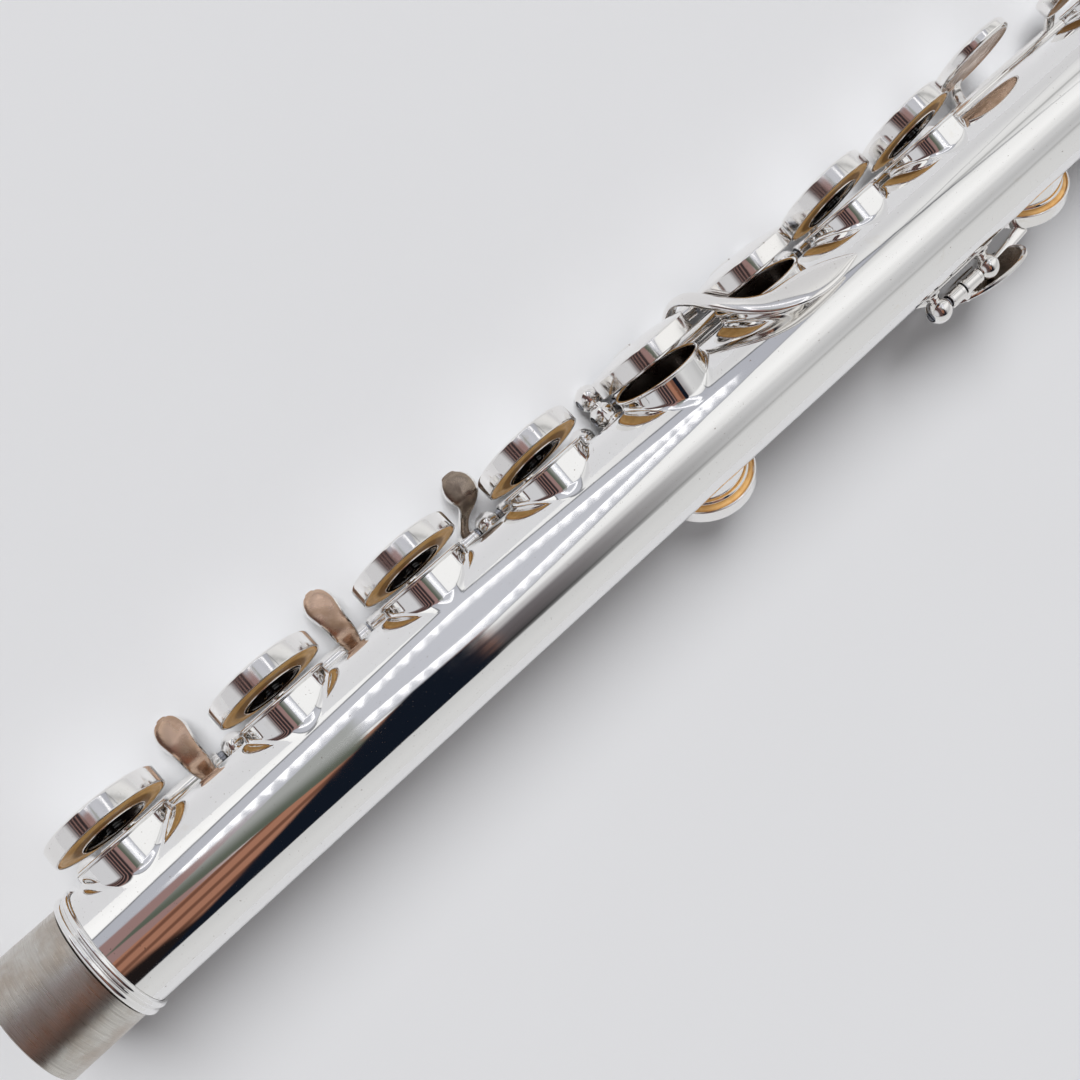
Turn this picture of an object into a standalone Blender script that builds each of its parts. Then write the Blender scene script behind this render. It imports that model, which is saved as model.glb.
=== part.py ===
"""Body joint of a closed-hole concert flute with offset G keys, lying on its key rods.

Every piece is placed in the tube's own frame, in millimetres: X runs along the bore from the foot tenon
to the head socket with zero at the D tone hole, and an angle round the tube is counted from +Y, the side
of the large keys, towards +Z. The empty flute_axis rolls that frame over and stands it on the ground.
"""

import math

import bmesh
import bpy
from mathutils import Matrix, Vector

MM = 0.001

# How the instrument lies
ROLL = -27.0

# Tube, tenon and barrel
TUBE_R = 9.95
BORE_R = 9.5
TUBE_X = (-12.6, 290.0)
TENON_R = 9.85
TENON_X = (-25.5, -12.9)
RING_X = -11.4
RING_R = 10.7
RING_BEAD_R = 0.62
RING_GAP = 0.2
BARREL_X = (285.5, 330.0)
BARREL_R = 10.7
SOCKET_R = 10.15

# Tone holes
RIM_H = 11.6
RIM_LIP = 0.3
CHIMNEY_WALL = 0.5
MAIN_ANGLE = 3.5
OFFSET_ANGLE = 17.0
BACK_ANGLE = -119.0
TRILL_CUP_ANGLE = -100.0

# Key cups and pads, measured from the sealing plane outwards
CUP_WALL = 0.45
CUP_EDGE = 0.2
CUP_H = 3.2
CUP_DOME = 0.9
CUP_TOP = 0.6
PAD_T = 1.9
PAD_GAP = 0.15
SEAL_GAP = 0.15
WASHER_R = 5.4
STEM_R = 0.9
STEM_GAP = 0.2

# Rod lines: place of each hinge axis beside the tube (Y, Z)
MAIN_ROD = (11.0, -9.9)
OFFSET_ROD = (12.1, -7.4)
TRILL_ROD = (7.4, -11.8)
LEVER_ROD = (15.8, -7.7)
BACK_ROD = (3.6, -13.35)
THUMB_ROD = (-13.2, -5.5)

# Hinge tubes, steels, posts and arms
HINGE_R = 1.6
HINGE_BORE = 1.2
STEEL_R = 1.0
POST_BALL_R = 2.35
POST_STEM_R = 1.0
RIB_FLOOR = 10.1
RIB_T = 0.8
RIB_CLEAR = 0.6
ARM_R = 0.85
SPRING_R = 0.3
SPRING_LENGTH = 10.0
SPRING_INSET = 2.3

OPEN = -9.5  # rest angle of a key that stands open

ROUND = 36  # facets round the tube
DISC = 18  # facets round a key cup
THIN = 10  # facets round a rod
BALL_STEPS = 5  # bands of a post's ball

# Pieces whose cuts run so close to their own facets that the exact solver leaves gaps
CLOSE_CUTS = ("body_tube", "d_sharp_trill_key", "trill_rib", "offset_rib", "lower_rib")

# name: place along the tube, angle, chimney radius, cup radius
TONE_HOLES = {
    "d": (0.0, MAIN_ANGLE, 7.9, 9.4),
    "e": (29.4, MAIN_ANGLE, 7.9, 9.4),
    "f": (57.1, MAIN_ANGLE, 7.9, 9.4),
    "f_sharp": (83.2, MAIN_ANGLE, 7.9, 9.4),
    "g_lower": (107.4, OFFSET_ANGLE, 7.6, 9.3),
    "g_upper": (130.6, OFFSET_ANGLE, 7.6, 9.3),
    "a": (153.3, MAIN_ANGLE, 7.4, 9.0),
    "a_sharp": (174.0, MAIN_ANGLE, 7.4, 9.0),
    "c_sharp": (219.0, MAIN_ANGLE, 4.2, 5.7),
    "g_sharp": (107.5, BACK_ANGLE, 7.4, 9.25),
    "thumb": (192.1, BACK_ANGLE, 7.3, 9.25),
    "d_trill": (239.0, TRILL_CUP_ANGLE, 4.2, 5.7),
    "d_sharp_trill": (252.5, TRILL_CUP_ANGLE, 4.2, 5.7),
}


def clear_scene():
    for obj in list(bpy.data.objects):
        bpy.data.objects.remove(obj, do_unlink=True)
    for collection in list(bpy.data.collections):
        bpy.data.collections.remove(collection)


def new_collection(name):
    collection = bpy.data.collections.new(name)
    bpy.context.scene.collection.children.link(collection)
    return collection


def material(name, colour, roughness, metallic):
    made = bpy.data.materials.new(name)
    made.use_nodes = True
    shader = made.node_tree.nodes["Principled BSDF"]
    shader.inputs["Base Color"].default_value = (*colour, 1.0)
    shader.inputs["Roughness"].default_value = roughness
    shader.inputs["Metallic"].default_value = metallic
    return made


clear_scene()
PARTS = new_collection("concert_flute")
CUTTERS = new_collection("cutters")
SILVER = (0.86, 0.85, 0.84)
STEEL_GREY = (0.45, 0.46, 0.48)
PAD_TAN = (0.55, 0.36, 0.17)

FLUTE = bpy.data.objects.new("flute_axis", None)
PARTS.objects.link(FLUTE)
FLUTE.rotation_euler.x = math.radians(ROLL)


def radial(angle):
    """Unit vector square to the tube at this angle."""
    turn = math.radians(angle)
    return Vector((0.0, math.cos(turn), math.sin(turn)))


def along_x():
    """Turns a shape made along Z so that it runs along the tube."""
    return Matrix.Rotation(math.pi / 2, 4, "Y")


def standing(x, angle, height):
    """Places a shape made along Z on the tube, pointing straight out at this angle."""
    out = radial(angle)
    side = Vector((1.0, 0.0, 0.0))
    turn = Matrix((side, out.cross(side), out)).transposed().to_4x4()
    return Matrix.Translation((Vector((x, 0, 0)) + out * height) * MM) @ turn


def add(name, mesh, place, helper=False):
    """Links a new object, which is a finished piece or a hidden helper."""
    obj = bpy.data.objects.new(name, mesh)
    (CUTTERS if helper else PARTS).objects.link(obj)
    obj.parent = FLUTE
    obj.matrix_local = place
    if helper:
        obj.hide_render = True
        obj.display_type = "WIRE"
    return obj


def finish(obj, colour, roughness=0.15, metallic=1.0):
    obj.data.materials.clear()
    obj.data.materials.append(material(obj.name + "_finish", colour, roughness, metallic))
    obj.data.shade_smooth()
    obj.data.set_sharp_from_angle(angle=math.radians(35))
    return obj


def turned(name, profile, facets, place, helper=False, ring=False):
    """A solid of revolution about local Z. The profile runs down its outer side."""
    mesh = bpy.data.meshes.new(name)
    points = [(r * MM, 0.0, z * MM) for r, z in profile]
    edges = [(i, i + 1) for i in range(len(points) - 1)]
    if ring:
        edges.append((len(points) - 1, 0))
    mesh.from_pydata(points, edges, [])
    obj = add(name, mesh, place, helper)
    screw = obj.modifiers.new("turn", "SCREW")
    screw.axis = "Z"
    screw.angle = 2 * math.pi
    screw.steps = facets
    screw.render_steps = facets
    screw.use_merge_vertices = True
    screw.merge_threshold = 1e-6
    return obj


def rod(name, x0, x1, radius, line, helper=False, facets=THIN, bore=None, frame=Matrix()):
    """A rod, or a tube if it has a bore, along the flute from x0 to x1 on a line of the frame."""
    place = frame @ Matrix.Translation(Vector((x0, line[0], line[1])) * MM) @ along_x()
    length = x1 - x0
    if bore is None:
        profile = [(0, length), (radius, length), (radius, 0), (0, 0)]
    else:
        profile = [(bore, length), (radius, length), (radius, 0), (bore, 0)]
    return turned(name, profile, facets, place, helper, ring=bore is not None)


def wire(name, points, radius, frame):
    """A round bar through the points, made a mesh so that it can be joined to its neighbours."""
    curve = bpy.data.curves.new(name, "CURVE")
    curve.dimensions = "3D"
    curve.bevel_depth = radius * MM
    curve.bevel_resolution = 1
    curve.use_fill_caps = True
    spline = curve.splines.new("POLY")
    spline.points.add(len(points) - 1)
    for point, where in zip(spline.points, points):
        point.co = (*(Vector(where) * MM), 1.0)
    guide = add(name + "_guide", curve, Matrix(), helper=True)
    bpy.context.view_layer.update()
    graph = bpy.context.evaluated_depsgraph_get()
    mesh = bpy.data.meshes.new_from_object(guide.evaluated_get(graph))
    weld(mesh)
    bpy.data.objects.remove(guide)
    return add(name, mesh, frame, helper=True)


def weld(mesh):
    work = bmesh.new()
    work.from_mesh(mesh)
    bmesh.ops.remove_doubles(work, verts=work.verts, dist=1e-7)
    bmesh.ops.recalc_face_normals(work, faces=work.faces)
    work.to_mesh(mesh)
    work.free()


def boolean(obj, other, operation):
    step = obj.modifiers.new(operation.lower() + "_" + other.name, "BOOLEAN")
    step.operation = operation
    step.solver = "MANIFOLD" if obj.name in CLOSE_CUTS else "EXACT"
    step.object = other
    return obj


def join(obj, *others):
    for other in others:
        boolean(obj, other, "UNION")
    return obj


def cut(obj, *others):
    for other in others:
        boolean(obj, other, "DIFFERENCE")
    return obj


# ---------------------------------------------------------------- tube


def make_tube():
    """The tube with its drawn tone holes, the tenon, the ring over the seam and the head barrel."""
    tube = rod("body_tube", *TUBE_X, TUBE_R, (0, 0), facets=ROUND)
    for name, (x, angle, radius, _) in TONE_HOLES.items():
        profile = [
            (0, RIM_H - 6),
            (radius, RIM_H - 6),
            (radius, RIM_H - 0.7),
            (radius + RIM_LIP, RIM_H - 0.3),
            (radius + RIM_LIP * 0.5, RIM_H),
            (0, RIM_H),
        ]
        profile.reverse()
        chimney = turned(name + "_chimney", profile, DISC, standing(x, angle, 0), helper=True)
        join(tube, chimney)
    cut(tube, rod("bore", TUBE_X[0] - 5, TUBE_X[1] + 5, BORE_R, (0, 0), True, ROUND))
    for name, (x, angle, radius, _) in TONE_HOLES.items():
        inside = radius - CHIMNEY_WALL
        hole = [(0, RIM_H + 3), (inside, RIM_H + 3), (inside, 3), (0, 3)]
        cut(tube, turned(name + "_hole", hole, DISC, standing(x, angle, 0), helper=True))
    finish(tube, SILVER, 0.06)

    tenon = rod("foot_tenon", *TENON_X, TENON_R, (0, 0), facets=ROUND, bore=BORE_R)
    finish(tenon, SILVER, 0.35)

    bead = RING_BEAD_R
    inner = TUBE_R + RING_GAP
    crown = RING_R - bead
    ring = [(inner, RING_X + 2 * bead)]
    for middle in (RING_X + bead, RING_X - bead):
        for turn in (72, 36, 0, -36, -72):
            swing = math.radians(turn)
            ring.append((crown + bead * math.cos(swing), middle + bead * math.sin(swing)))
    ring.append((inner, RING_X - 2 * bead))
    finish(turned("tenon_ring", ring, ROUND, along_x(), ring=True), SILVER, 0.1)

    x0, x1 = BARREL_X
    barrel = [
        (SOCKET_R, x1),
        (BARREL_R + 0.7, x1),
        (BARREL_R + 0.7, x1 - 2.5),
        (BARREL_R, x1 - 3.0),
        (BARREL_R, x0 + 3.0),
        (BARREL_R + 0.6, x0 + 2.5),
        (BARREL_R + 0.6, x0),
        (SOCKET_R, x0),
    ]
    finish(turned("head_barrel", barrel, ROUND, along_x(), ring=True), SILVER, 0.1)


# ---------------------------------------------------------------- keys


def hinge_place(line, angle):
    """The frame of a key: its origin on the hinge axis, turned to its rest angle."""
    turn = Matrix.Rotation(math.radians(angle), 4, "X")
    return Matrix.Translation(Vector((0, *line)) * MM) @ turn


def cup_shape(name, cup_r, place):
    """A shallow turned cup, open towards the tube."""
    side = cup_r - CUP_WALL
    roof = CUP_H - CUP_TOP
    profile = [
        (0, CUP_H + CUP_DOME),
        (cup_r * 0.55, CUP_H + CUP_DOME * 0.75),
        (cup_r - 0.5, CUP_H),
        (cup_r, CUP_H - 0.5),
        (cup_r, CUP_EDGE),
        (side, CUP_EDGE),
        (side, roof),
        (0, roof),
    ]
    return turned(name, profile, DISC, place, helper=True)


def pad_shape(name, cup_r, place, screwed):
    """A felt disc with a centre hole for its screw, or a plain glued disc under a small cup."""
    rim = cup_r - CUP_WALL - PAD_GAP
    centre = STEM_R + STEM_GAP if screwed else 0
    profile = [(centre, PAD_T), (rim, PAD_T), (rim, 0.4), (rim - 0.4, 0), (centre, 0)]
    pad = turned(name, profile, DISC, place, ring=screwed)
    return finish(pad, PAD_TAN, 0.8, 0.0)


def washer_shape(name, place):
    """The pad washer with its screw, whose stem goes up through the pad."""
    below = -0.12
    profile = [
        (0, PAD_T - 0.1),
        (STEM_R, PAD_T - 0.1),
        (STEM_R, below),
        (WASHER_R, below),
        (WASHER_R, below - 0.25),
        (WASHER_R - 0.4, below - 0.45),
        (1.8, below - 0.45),
        (1.5, below - 0.8),
        (0, below - 0.8),
    ]
    return finish(turned(name, profile, THIN + 4, place), STEEL_GREY, 0.12)


def key(name, line, span, rest):
    """The hinge tube of a key, still solid, and the frame of the key."""
    place = hinge_place(line, rest)
    return rod(name, *span, HINGE_R, (0, 0), frame=place), place


def bore_key(body, span, place, radius=HINGE_BORE):
    """Bores a key for its steel, right through its hinge tube and the roots of its arms."""
    cut(body, rod(body.name + "_bore", span[0] - 1, span[1] + 1, radius, (0, 0), True, frame=place))
    finish(body, SILVER)


def seat(hole, line):
    """Where the closed cup of a tone hole sits, in the frame of a key hinged on this line."""
    x, angle, _, _ = TONE_HOLES[hole]
    return Matrix.Translation(Vector((0, -line[0], -line[1])) * MM) @ standing(x, angle, RIM_H + SEAL_GAP)


def fill_cup(hole, line, place, screwed=True):
    """The pad of a cup, and its washer and screw, as pieces that ride with the key."""
    cup_r = TONE_HOLES[hole][3]
    sits = place @ seat(hole, line)
    pad_shape(hole + "_pad", cup_r, sits, screwed)
    if screwed:
        washer_shape(hole + "_pad_washer", sits)


def add_cup(body, hole, line, place, arm_points, arm_x=None, screwed=True, radius=ARM_R):
    """Joins one cup and the arm that carries it to a key body."""
    x = TONE_HOLES[hole][0] if arm_x is None else arm_x
    cup = cup_shape(hole + "_cup", TONE_HOLES[hole][3], place @ seat(hole, line))
    add_arm(body, hole + "_arm", line, place, [(x, y, z) for y, z in arm_points], radius)
    join(body, cup)
    fill_cup(hole, line, place, screwed)


def add_arm(body, name, line, place, points, radius=ARM_R):
    """Joins a bar, given by points in the tube's frame with the key closed."""
    local = [(x, y - line[0], z - line[1]) for x, y, z in points]
    join(body, wire(name, local, radius, place))


def add_paddle(body, name, line, place, centre, size, tilt=0.0, spin=0.0):
    """Joins a finger touch: a flattened round plate, with its normal at an angle round the tube."""
    turn = Matrix.Rotation(math.radians(spin), 4, "Z")
    scale = Matrix.Diagonal((size[0], size[1], 1.0, 1.0))
    out = standing(0, tilt, 0)
    here = Matrix.Translation(Vector((centre[0], centre[1] - line[0], centre[2] - line[1])) * MM)
    half = size[2] / 2
    profile = [(0, half), (0.8, half), (1.0, half * 0.4), (1.0, -half * 0.4), (0.8, -half), (0, -half)]
    join(body, turned(name, profile, THIN + 4, place @ here @ out @ turn @ scale, helper=True))


def main_arm(hole, clear=0.5):
    """Arm of a key that stands open: up beside the cup, then over its edge to its back."""
    height = RIM_H + CUP_H
    out = radial(TONE_HOLES[hole][1])
    side = Vector((0.0, -out.z, out.y))
    cup_r = TONE_HOLES[hole][3]
    below = out * (height - CUP_H * 0.2) - side * (cup_r + clear)
    corner = out * (height + 0.3) - side * (cup_r - 1.3)
    back = out * (height + CUP_DOME * 0.9) - side * (cup_r * 0.35)
    return [(point.y, point.z) for point in (below, corner, back)]


def make_main_keys():
    """The eight keys of the right and left hand that stand open over the main rod."""
    spans = {
        "d": (-5.4, 16.6),
        "e": (22.4, 46.8),
        "f": (47.2, 66.6),
        "f_sharp": (75.8, 91.8),
        "a": (148.0, 161.6),
        "a_sharp": (162.0, 181.0),
    }
    for name, span in spans.items():
        body, place = key(name + "_key", MAIN_ROD, span, OPEN)
        add_cup(body, name, MAIN_ROD, place, [MAIN_ROD, *main_arm(name)])
        bore_key(body, span, place)

    span = (102.8, 137.2)
    body, place = key("g_key", OFFSET_ROD, span, OPEN)
    for name in ("g_lower", "g_upper"):
        add_cup(body, name, OFFSET_ROD, place, [OFFSET_ROD, *main_arm(name, 0.3)], radius=0.65)
    bore_key(body, span, place)

    span = (188.0, 226.0)
    touch_x = 194.0
    body, place = key("c_sharp_key", MAIN_ROD, span, OPEN)
    add_cup(body, "c_sharp", MAIN_ROD, place, [MAIN_ROD, *main_arm("c_sharp")], screwed=False)
    add_arm(body, "c_sharp_touch_arm", MAIN_ROD, place, [(touch_x, *MAIN_ROD), (touch_x, 14.9, -6.2)])
    add_paddle(body, "c_sharp_touch", MAIN_ROD, place, (touch_x, 15.0, 1.0), (8.0, 8.0, 1.5), MAIN_ANGLE)
    bore_key(body, span, place)


def make_g_sharp():
    """The G sharp leaf, whose arm crosses between the G cups, and the back cup that it opens."""
    span = (114.4, 124.6)
    arm_x = 119.2
    arm = [
        (arm_x, *LEVER_ROD),
        (arm_x, 17.4, -4.0),
        (arm_x, 17.6, 1.5),
        (arm_x + 0.8, 15.2, 6.4),
        (arm_x + 3.0, 9.9, 10.2),
        (arm_x + 8.0, 6.0, 12.4),
    ]
    body, place = key("g_sharp_lever", LEVER_ROD, span, 0)
    add_arm(body, "leaf_arm", LEVER_ROD, place, arm, 1.0)
    add_paddle(body, "leaf", LEVER_ROD, place, (131.0, 4.9, 12.7), (11.5, 2.7, 1.2), 68.0, -8.0)
    bore_key(body, span, place)

    span = (97.5, 121.0)
    back = radial(BACK_ANGLE)
    near = back * (RIM_H + 2.4) + Vector((0, -back.z, back.y)) * 9.6
    body, place = key("g_sharp_key", BACK_ROD, span, 0)
    add_cup(body, "g_sharp", BACK_ROD, place, [BACK_ROD, (near.y, near.z)])
    bore_key(body, span, place)


def make_thumb_keys():
    """The thumb cup with its long touch, held closed by what the flute lies on, and the B flat touch."""
    span = (165.0, 169.2)
    arm_x = 167.4
    elbow = (-14.6, -9.4)
    back = radial(BACK_ANGLE)
    side = Vector((0, -back.z, back.y))
    edge = back * (RIM_H + CUP_H + 0.4) - side * 6.0
    body, place = key("thumb_b_key", THUMB_ROD, span, 0)
    arm = [(arm_x, *elbow), (174.5, -14.2, -9.9), (186.0, edge.y, edge.z)]
    add_arm(body, "thumb_arm", THUMB_ROD, place, arm, 1.0)
    add_cup(body, "thumb", THUMB_ROD, place, [THUMB_ROD, elbow], arm_x)
    add_arm(body, "thumb_touch_arm", THUMB_ROD, place, [(166.0, *THUMB_ROD), (167.0, -15.2, -7.8)])
    add_paddle(body, "thumb_touch", THUMB_ROD, place, (172.5, -14.4, -9.0), (9.5, 4.4, 1.1), -145.0, 8.0)
    bore_key(body, span, place)

    span = (161.2, 164.6)
    body, place = key("thumb_b_flat_lever", THUMB_ROD, span, 0)
    arm = [(162.8, *THUMB_ROD), (162.6, -11.9, -9.6), (158.0, -8.2, -13.3)]
    add_arm(body, "b_flat_touch_arm", THUMB_ROD, place, arm)
    add_paddle(body, "b_flat_touch", THUMB_ROD, place, (152.5, -6.6, -13.6), (7.0, 3.6, 1.1), -116.0)
    bore_key(body, span, place)


def touch_arm(x):
    """The route of a trill touch: up between the tube and the main rod, then out between two cups."""
    return [(x, *TRILL_ROD), (x, 8.6, -8.7), (x, 12.2, -5.6), (x, 15.0, -4.4), (x, 19.0, -5.4)]


def trill_arm(hole):
    """The route from the trill line to the side of a trill cup."""
    out = radial(TRILL_CUP_ANGLE)
    near = out * (RIM_H + 2.2) + Vector((0, -out.z, out.y)) * (TONE_HOLES[hole][3] - 0.1)
    return [TRILL_ROD, (near.y, near.z)]


def trill_key(name, hole, span, touch_x):
    """A trill key without its bore: hinge tube, finger touch and cup."""
    body, place = key(name, TRILL_ROD, span, 0)
    add_arm(body, name + "_touch_arm", TRILL_ROD, place, touch_arm(touch_x), 0.6)
    add_paddle(body, name + "_touch", TRILL_ROD, place, (touch_x, 17.4, -4.6), (2.6, 4.6, 1.2), -15.0)
    return body, place


def make_trill_keys():
    """Two trill keys on one line. The D sharp trill's rod runs through the D trill's tube."""
    span = (38.6, 244.6)
    body, place = trill_key("d_trill_key", "d_trill", span, 43.2)
    add_cup(body, "d_trill", TRILL_ROD, place, trill_arm("d_trill"), screwed=False)
    bore_key(body, span, place)

    body, place = trill_key("d_sharp_trill_key", "d_sharp_trill", (10.6, 17.6), 14.0)
    join(body, rod("d_sharp_trill_rod", 5.0, 261.0, STEEL_R, (0, 0), True, frame=place))
    join(body, rod("d_sharp_trill_hub", 250.0, 255.0, HINGE_R, (0, 0), True, frame=place))
    add_cup(body, "d_sharp_trill", TRILL_ROD, place, trill_arm("d_sharp_trill"), screwed=False)
    finish(body, SILVER)


def make_b_flat_lever():
    """The right hand's side lever, between the F and F sharp keys."""
    span = (67.0, 70.2)
    body, place = key("b_flat_lever", MAIN_ROD, span, 0)
    arm = [(68.6, *MAIN_ROD), (69.4, 14.2, -7.4), (70.0, 17.4, -5.6)]
    add_arm(body, "side_lever_arm", MAIN_ROD, place, arm)
    add_paddle(body, "side_lever_touch", MAIN_ROD, place, (70.2, 18.4, -5.0), (2.9, 3.6, 1.2), -20.0)
    bore_key(body, span, place)


# ---------------------------------------------------------------- posts, ribs and steels


def make_rib(name, x0, x1, angle, width, posts, holes=()):
    """A flat rib along the tube, notched round the tone holes, with a bored ball post at each (x, rod line)."""
    middle = standing((x0 + x1) / 2, angle, RIB_FLOOR + RIB_T / 2)
    size = Matrix.Diagonal(((x1 - x0) * MM, width * MM, RIB_T * MM, 1.0))
    rib = add(name, box_mesh(name), middle @ size)
    for hole in holes:
        where, hole_angle, radius, _ = TONE_HOLES[hole]
        room = radius + RIB_CLEAR
        notch = [(0, RIM_H + 2), (room, RIM_H + 2), (room, 3), (0, 3)]
        cut(rib, turned(f"{name}_{hole}_notch", notch, DISC, standing(where, hole_angle, 0), helper=True))
    bores = []
    for number, (x, line) in enumerate(posts):
        stand = Vector((0, *line))
        aim = math.degrees(math.atan2(line[1], line[0]))
        reach = stand.length
        foot_r = POST_STEM_R + 0.8
        stem = [
            (0, reach),
            (POST_STEM_R, reach),
            (POST_STEM_R, RIB_FLOOR + 1.6),
            (foot_r, RIB_FLOOR + 0.4),
            (foot_r, RIB_FLOOR + 0.2),
            (0, RIB_FLOOR + 0.2),
        ]
        join(rib, turned(f"{name}_stem_{number}", stem, THIN, standing(x, aim, 0), helper=True))
        turns = [math.pi * step / BALL_STEPS for step in range(BALL_STEPS + 1)]
        ball = [(POST_BALL_R * abs(math.sin(turn)), POST_BALL_R * math.cos(turn)) for turn in turns]
        here = Matrix.Translation(Vector((x, *line)) * MM) @ along_x()
        join(rib, turned(f"{name}_ball_{number}", ball, THIN, here, helper=True))
        bores.append(rod(f"{name}_bore_{number}", x - 4, x + 4, HINGE_BORE, line, True))
    cut(rib, *bores)
    return finish(rib, SILVER)


def box_mesh(name):
    work = bmesh.new()
    bmesh.ops.create_cube(work, size=1.0)
    mesh = bpy.data.meshes.new(name)
    work.to_mesh(mesh)
    work.free()
    return mesh


def make_ribs():
    posts = [(x, MAIN_ROD) for x in (-8.0, 19.5, 72.9, 94.6)] + [(x, TRILL_ROD) for x in (7.8, 35.5)]
    make_rib("lower_rib", -9.6, 96.8, -50.0, 5.0, posts, ("d", "e", "f", "f_sharp"))
    posts = [(x, MAIN_ROD) for x in (145.2, 184.4, 229.0)]
    make_rib("upper_rib", 143.2, 232.0, -45.0, 5.0, posts, ("a", "a_sharp", "c_sharp"))
    posts = [(x, line) for line in (OFFSET_ROD, LEVER_ROD) for x in (99.8, 140.2)]
    make_rib("offset_rib", 97.6, 142.4, -31.0, 4.4, posts, ("g_lower", "g_upper"))
    make_rib("g_sharp_foot_post", 92.2, 97.0, -74.9, 3.2, [(94.6, BACK_ROD)])
    make_rib("g_sharp_head_post", 121.5, 126.3, -74.9, 3.2, [(123.9, BACK_ROD)])
    make_rib("thumb_rib", 155.4, 174.8, -157.4, 3.6, [(158.6, THUMB_ROD), (171.6, THUMB_ROD)])
    make_rib("trill_rib", 243.6, 261.4, -57.3, 3.6, [(247.3, TRILL_ROD), (258.2, TRILL_ROD)])


def make_steels():
    spans = {
        "lower_steel": (-10.8, 96.9, MAIN_ROD),
        "upper_steel": (142.9, 231.6, MAIN_ROD),
        "offset_steel": (97.4, 142.8, OFFSET_ROD),
        "g_sharp_steel": (92.0, 126.4, BACK_ROD),
        "thumb_steel": (156.0, 174.2, THUMB_ROD),
        "g_sharp_lever_steel": (97.2, 142.8, LEVER_ROD),
    }
    for name, (x0, x1, line) in spans.items():
        finish(rod(name, x0, x1, STEEL_R, line), STEEL_GREY, 0.2)


def make_springs():
    """Needle springs, each fixed in a post and lying along the inner side of its key's hinge tube."""
    inset = 1 - SPRING_INSET / math.hypot(*MAIN_ROD)
    line = (MAIN_ROD[0] * inset, MAIN_ROD[1] * inset)
    starts = {"d": -6.7, "e": 20.8, "f": 61.5, "a": 146.5, "c_sharp": 185.7}
    for name, start in starts.items():
        spring = rod(name + "_spring", start, start + SPRING_LENGTH, SPRING_R, line, facets=THIN - 4)
        finish(spring, STEEL_GREY, 0.3)


def stand_on_ground():
    """Rolls the flute on to its rods and puts the middle of its footprint at the origin."""
    bpy.context.view_layer.update()
    graph = bpy.context.evaluated_depsgraph_get()
    corners = []
    for obj in PARTS.objects:
        if obj.type == "MESH":
            whole = obj.evaluated_get(graph)
            corners += [whole.matrix_world @ vertex.co for vertex in whole.data.vertices]
    low = [min(corner[axis] for corner in corners) for axis in range(3)]
    high = [max(corner[axis] for corner in corners) for axis in range(3)]
    FLUTE.location = (-(low[0] + high[0]) / 2, -(low[1] + high[1]) / 2, -low[2])


make_tube()
make_main_keys()
make_g_sharp()
make_thumb_keys()
make_trill_keys()
make_b_flat_lever()
make_ribs()
make_steels()
make_springs()
stand_on_ground()
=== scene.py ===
"""Looks of the flute body joint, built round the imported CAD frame.

Shapes are made in the tube's own frame, in millimetres: X runs from the foot tenon to the head barrel with
zero at the D tone hole, and an angle round the tube is counted from +Y towards +Z.
"""

import math

import bpy
import numpy as np
from mathutils import Euler, Matrix, Vector


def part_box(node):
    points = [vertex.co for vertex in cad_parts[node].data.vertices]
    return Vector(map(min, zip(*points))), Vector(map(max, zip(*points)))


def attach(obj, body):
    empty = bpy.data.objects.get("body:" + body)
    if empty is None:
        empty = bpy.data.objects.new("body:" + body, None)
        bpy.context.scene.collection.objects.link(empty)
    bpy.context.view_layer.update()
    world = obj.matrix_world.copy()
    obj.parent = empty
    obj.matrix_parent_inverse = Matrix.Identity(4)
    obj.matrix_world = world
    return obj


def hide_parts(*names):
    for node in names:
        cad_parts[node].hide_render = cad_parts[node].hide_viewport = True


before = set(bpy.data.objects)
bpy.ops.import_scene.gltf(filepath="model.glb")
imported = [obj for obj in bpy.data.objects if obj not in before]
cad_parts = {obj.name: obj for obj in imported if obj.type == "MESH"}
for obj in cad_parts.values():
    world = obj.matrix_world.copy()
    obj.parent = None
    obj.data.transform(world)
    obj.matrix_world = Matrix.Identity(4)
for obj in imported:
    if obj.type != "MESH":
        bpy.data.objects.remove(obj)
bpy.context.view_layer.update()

MM = 0.001
ROLL = math.radians(-27.0)

# The tube's frame, from the CAD tenon
TENON_X = (-25.5, -12.9)
TENON_LOW, TENON_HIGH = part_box("foot_tenon")
TENON_MIDDLE = (TENON_LOW + TENON_HIGH) / 2
ORIGIN = Vector((TENON_LOW.x - TENON_X[0] * MM, TENON_MIDDLE.y, TENON_MIDDLE.z))
TURN = Matrix.Rotation(ROLL, 4, "X")
TUBE_FRAME = Matrix.Translation(ORIGIN) @ TURN
TO_TUBE = TUBE_FRAME.inverted()

# Tube, tenon, ring and barrel
TUBE_R = 9.95
BORE_R = 9.5
TUBE_X = (-12.6, 290.0)
TENON_R = 9.85
RING_X = -11.4
RING_R = 10.7
BARREL_X = (285.5, 330.0)
BARREL_R = 10.7
SOCKET_R = 10.15

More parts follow.
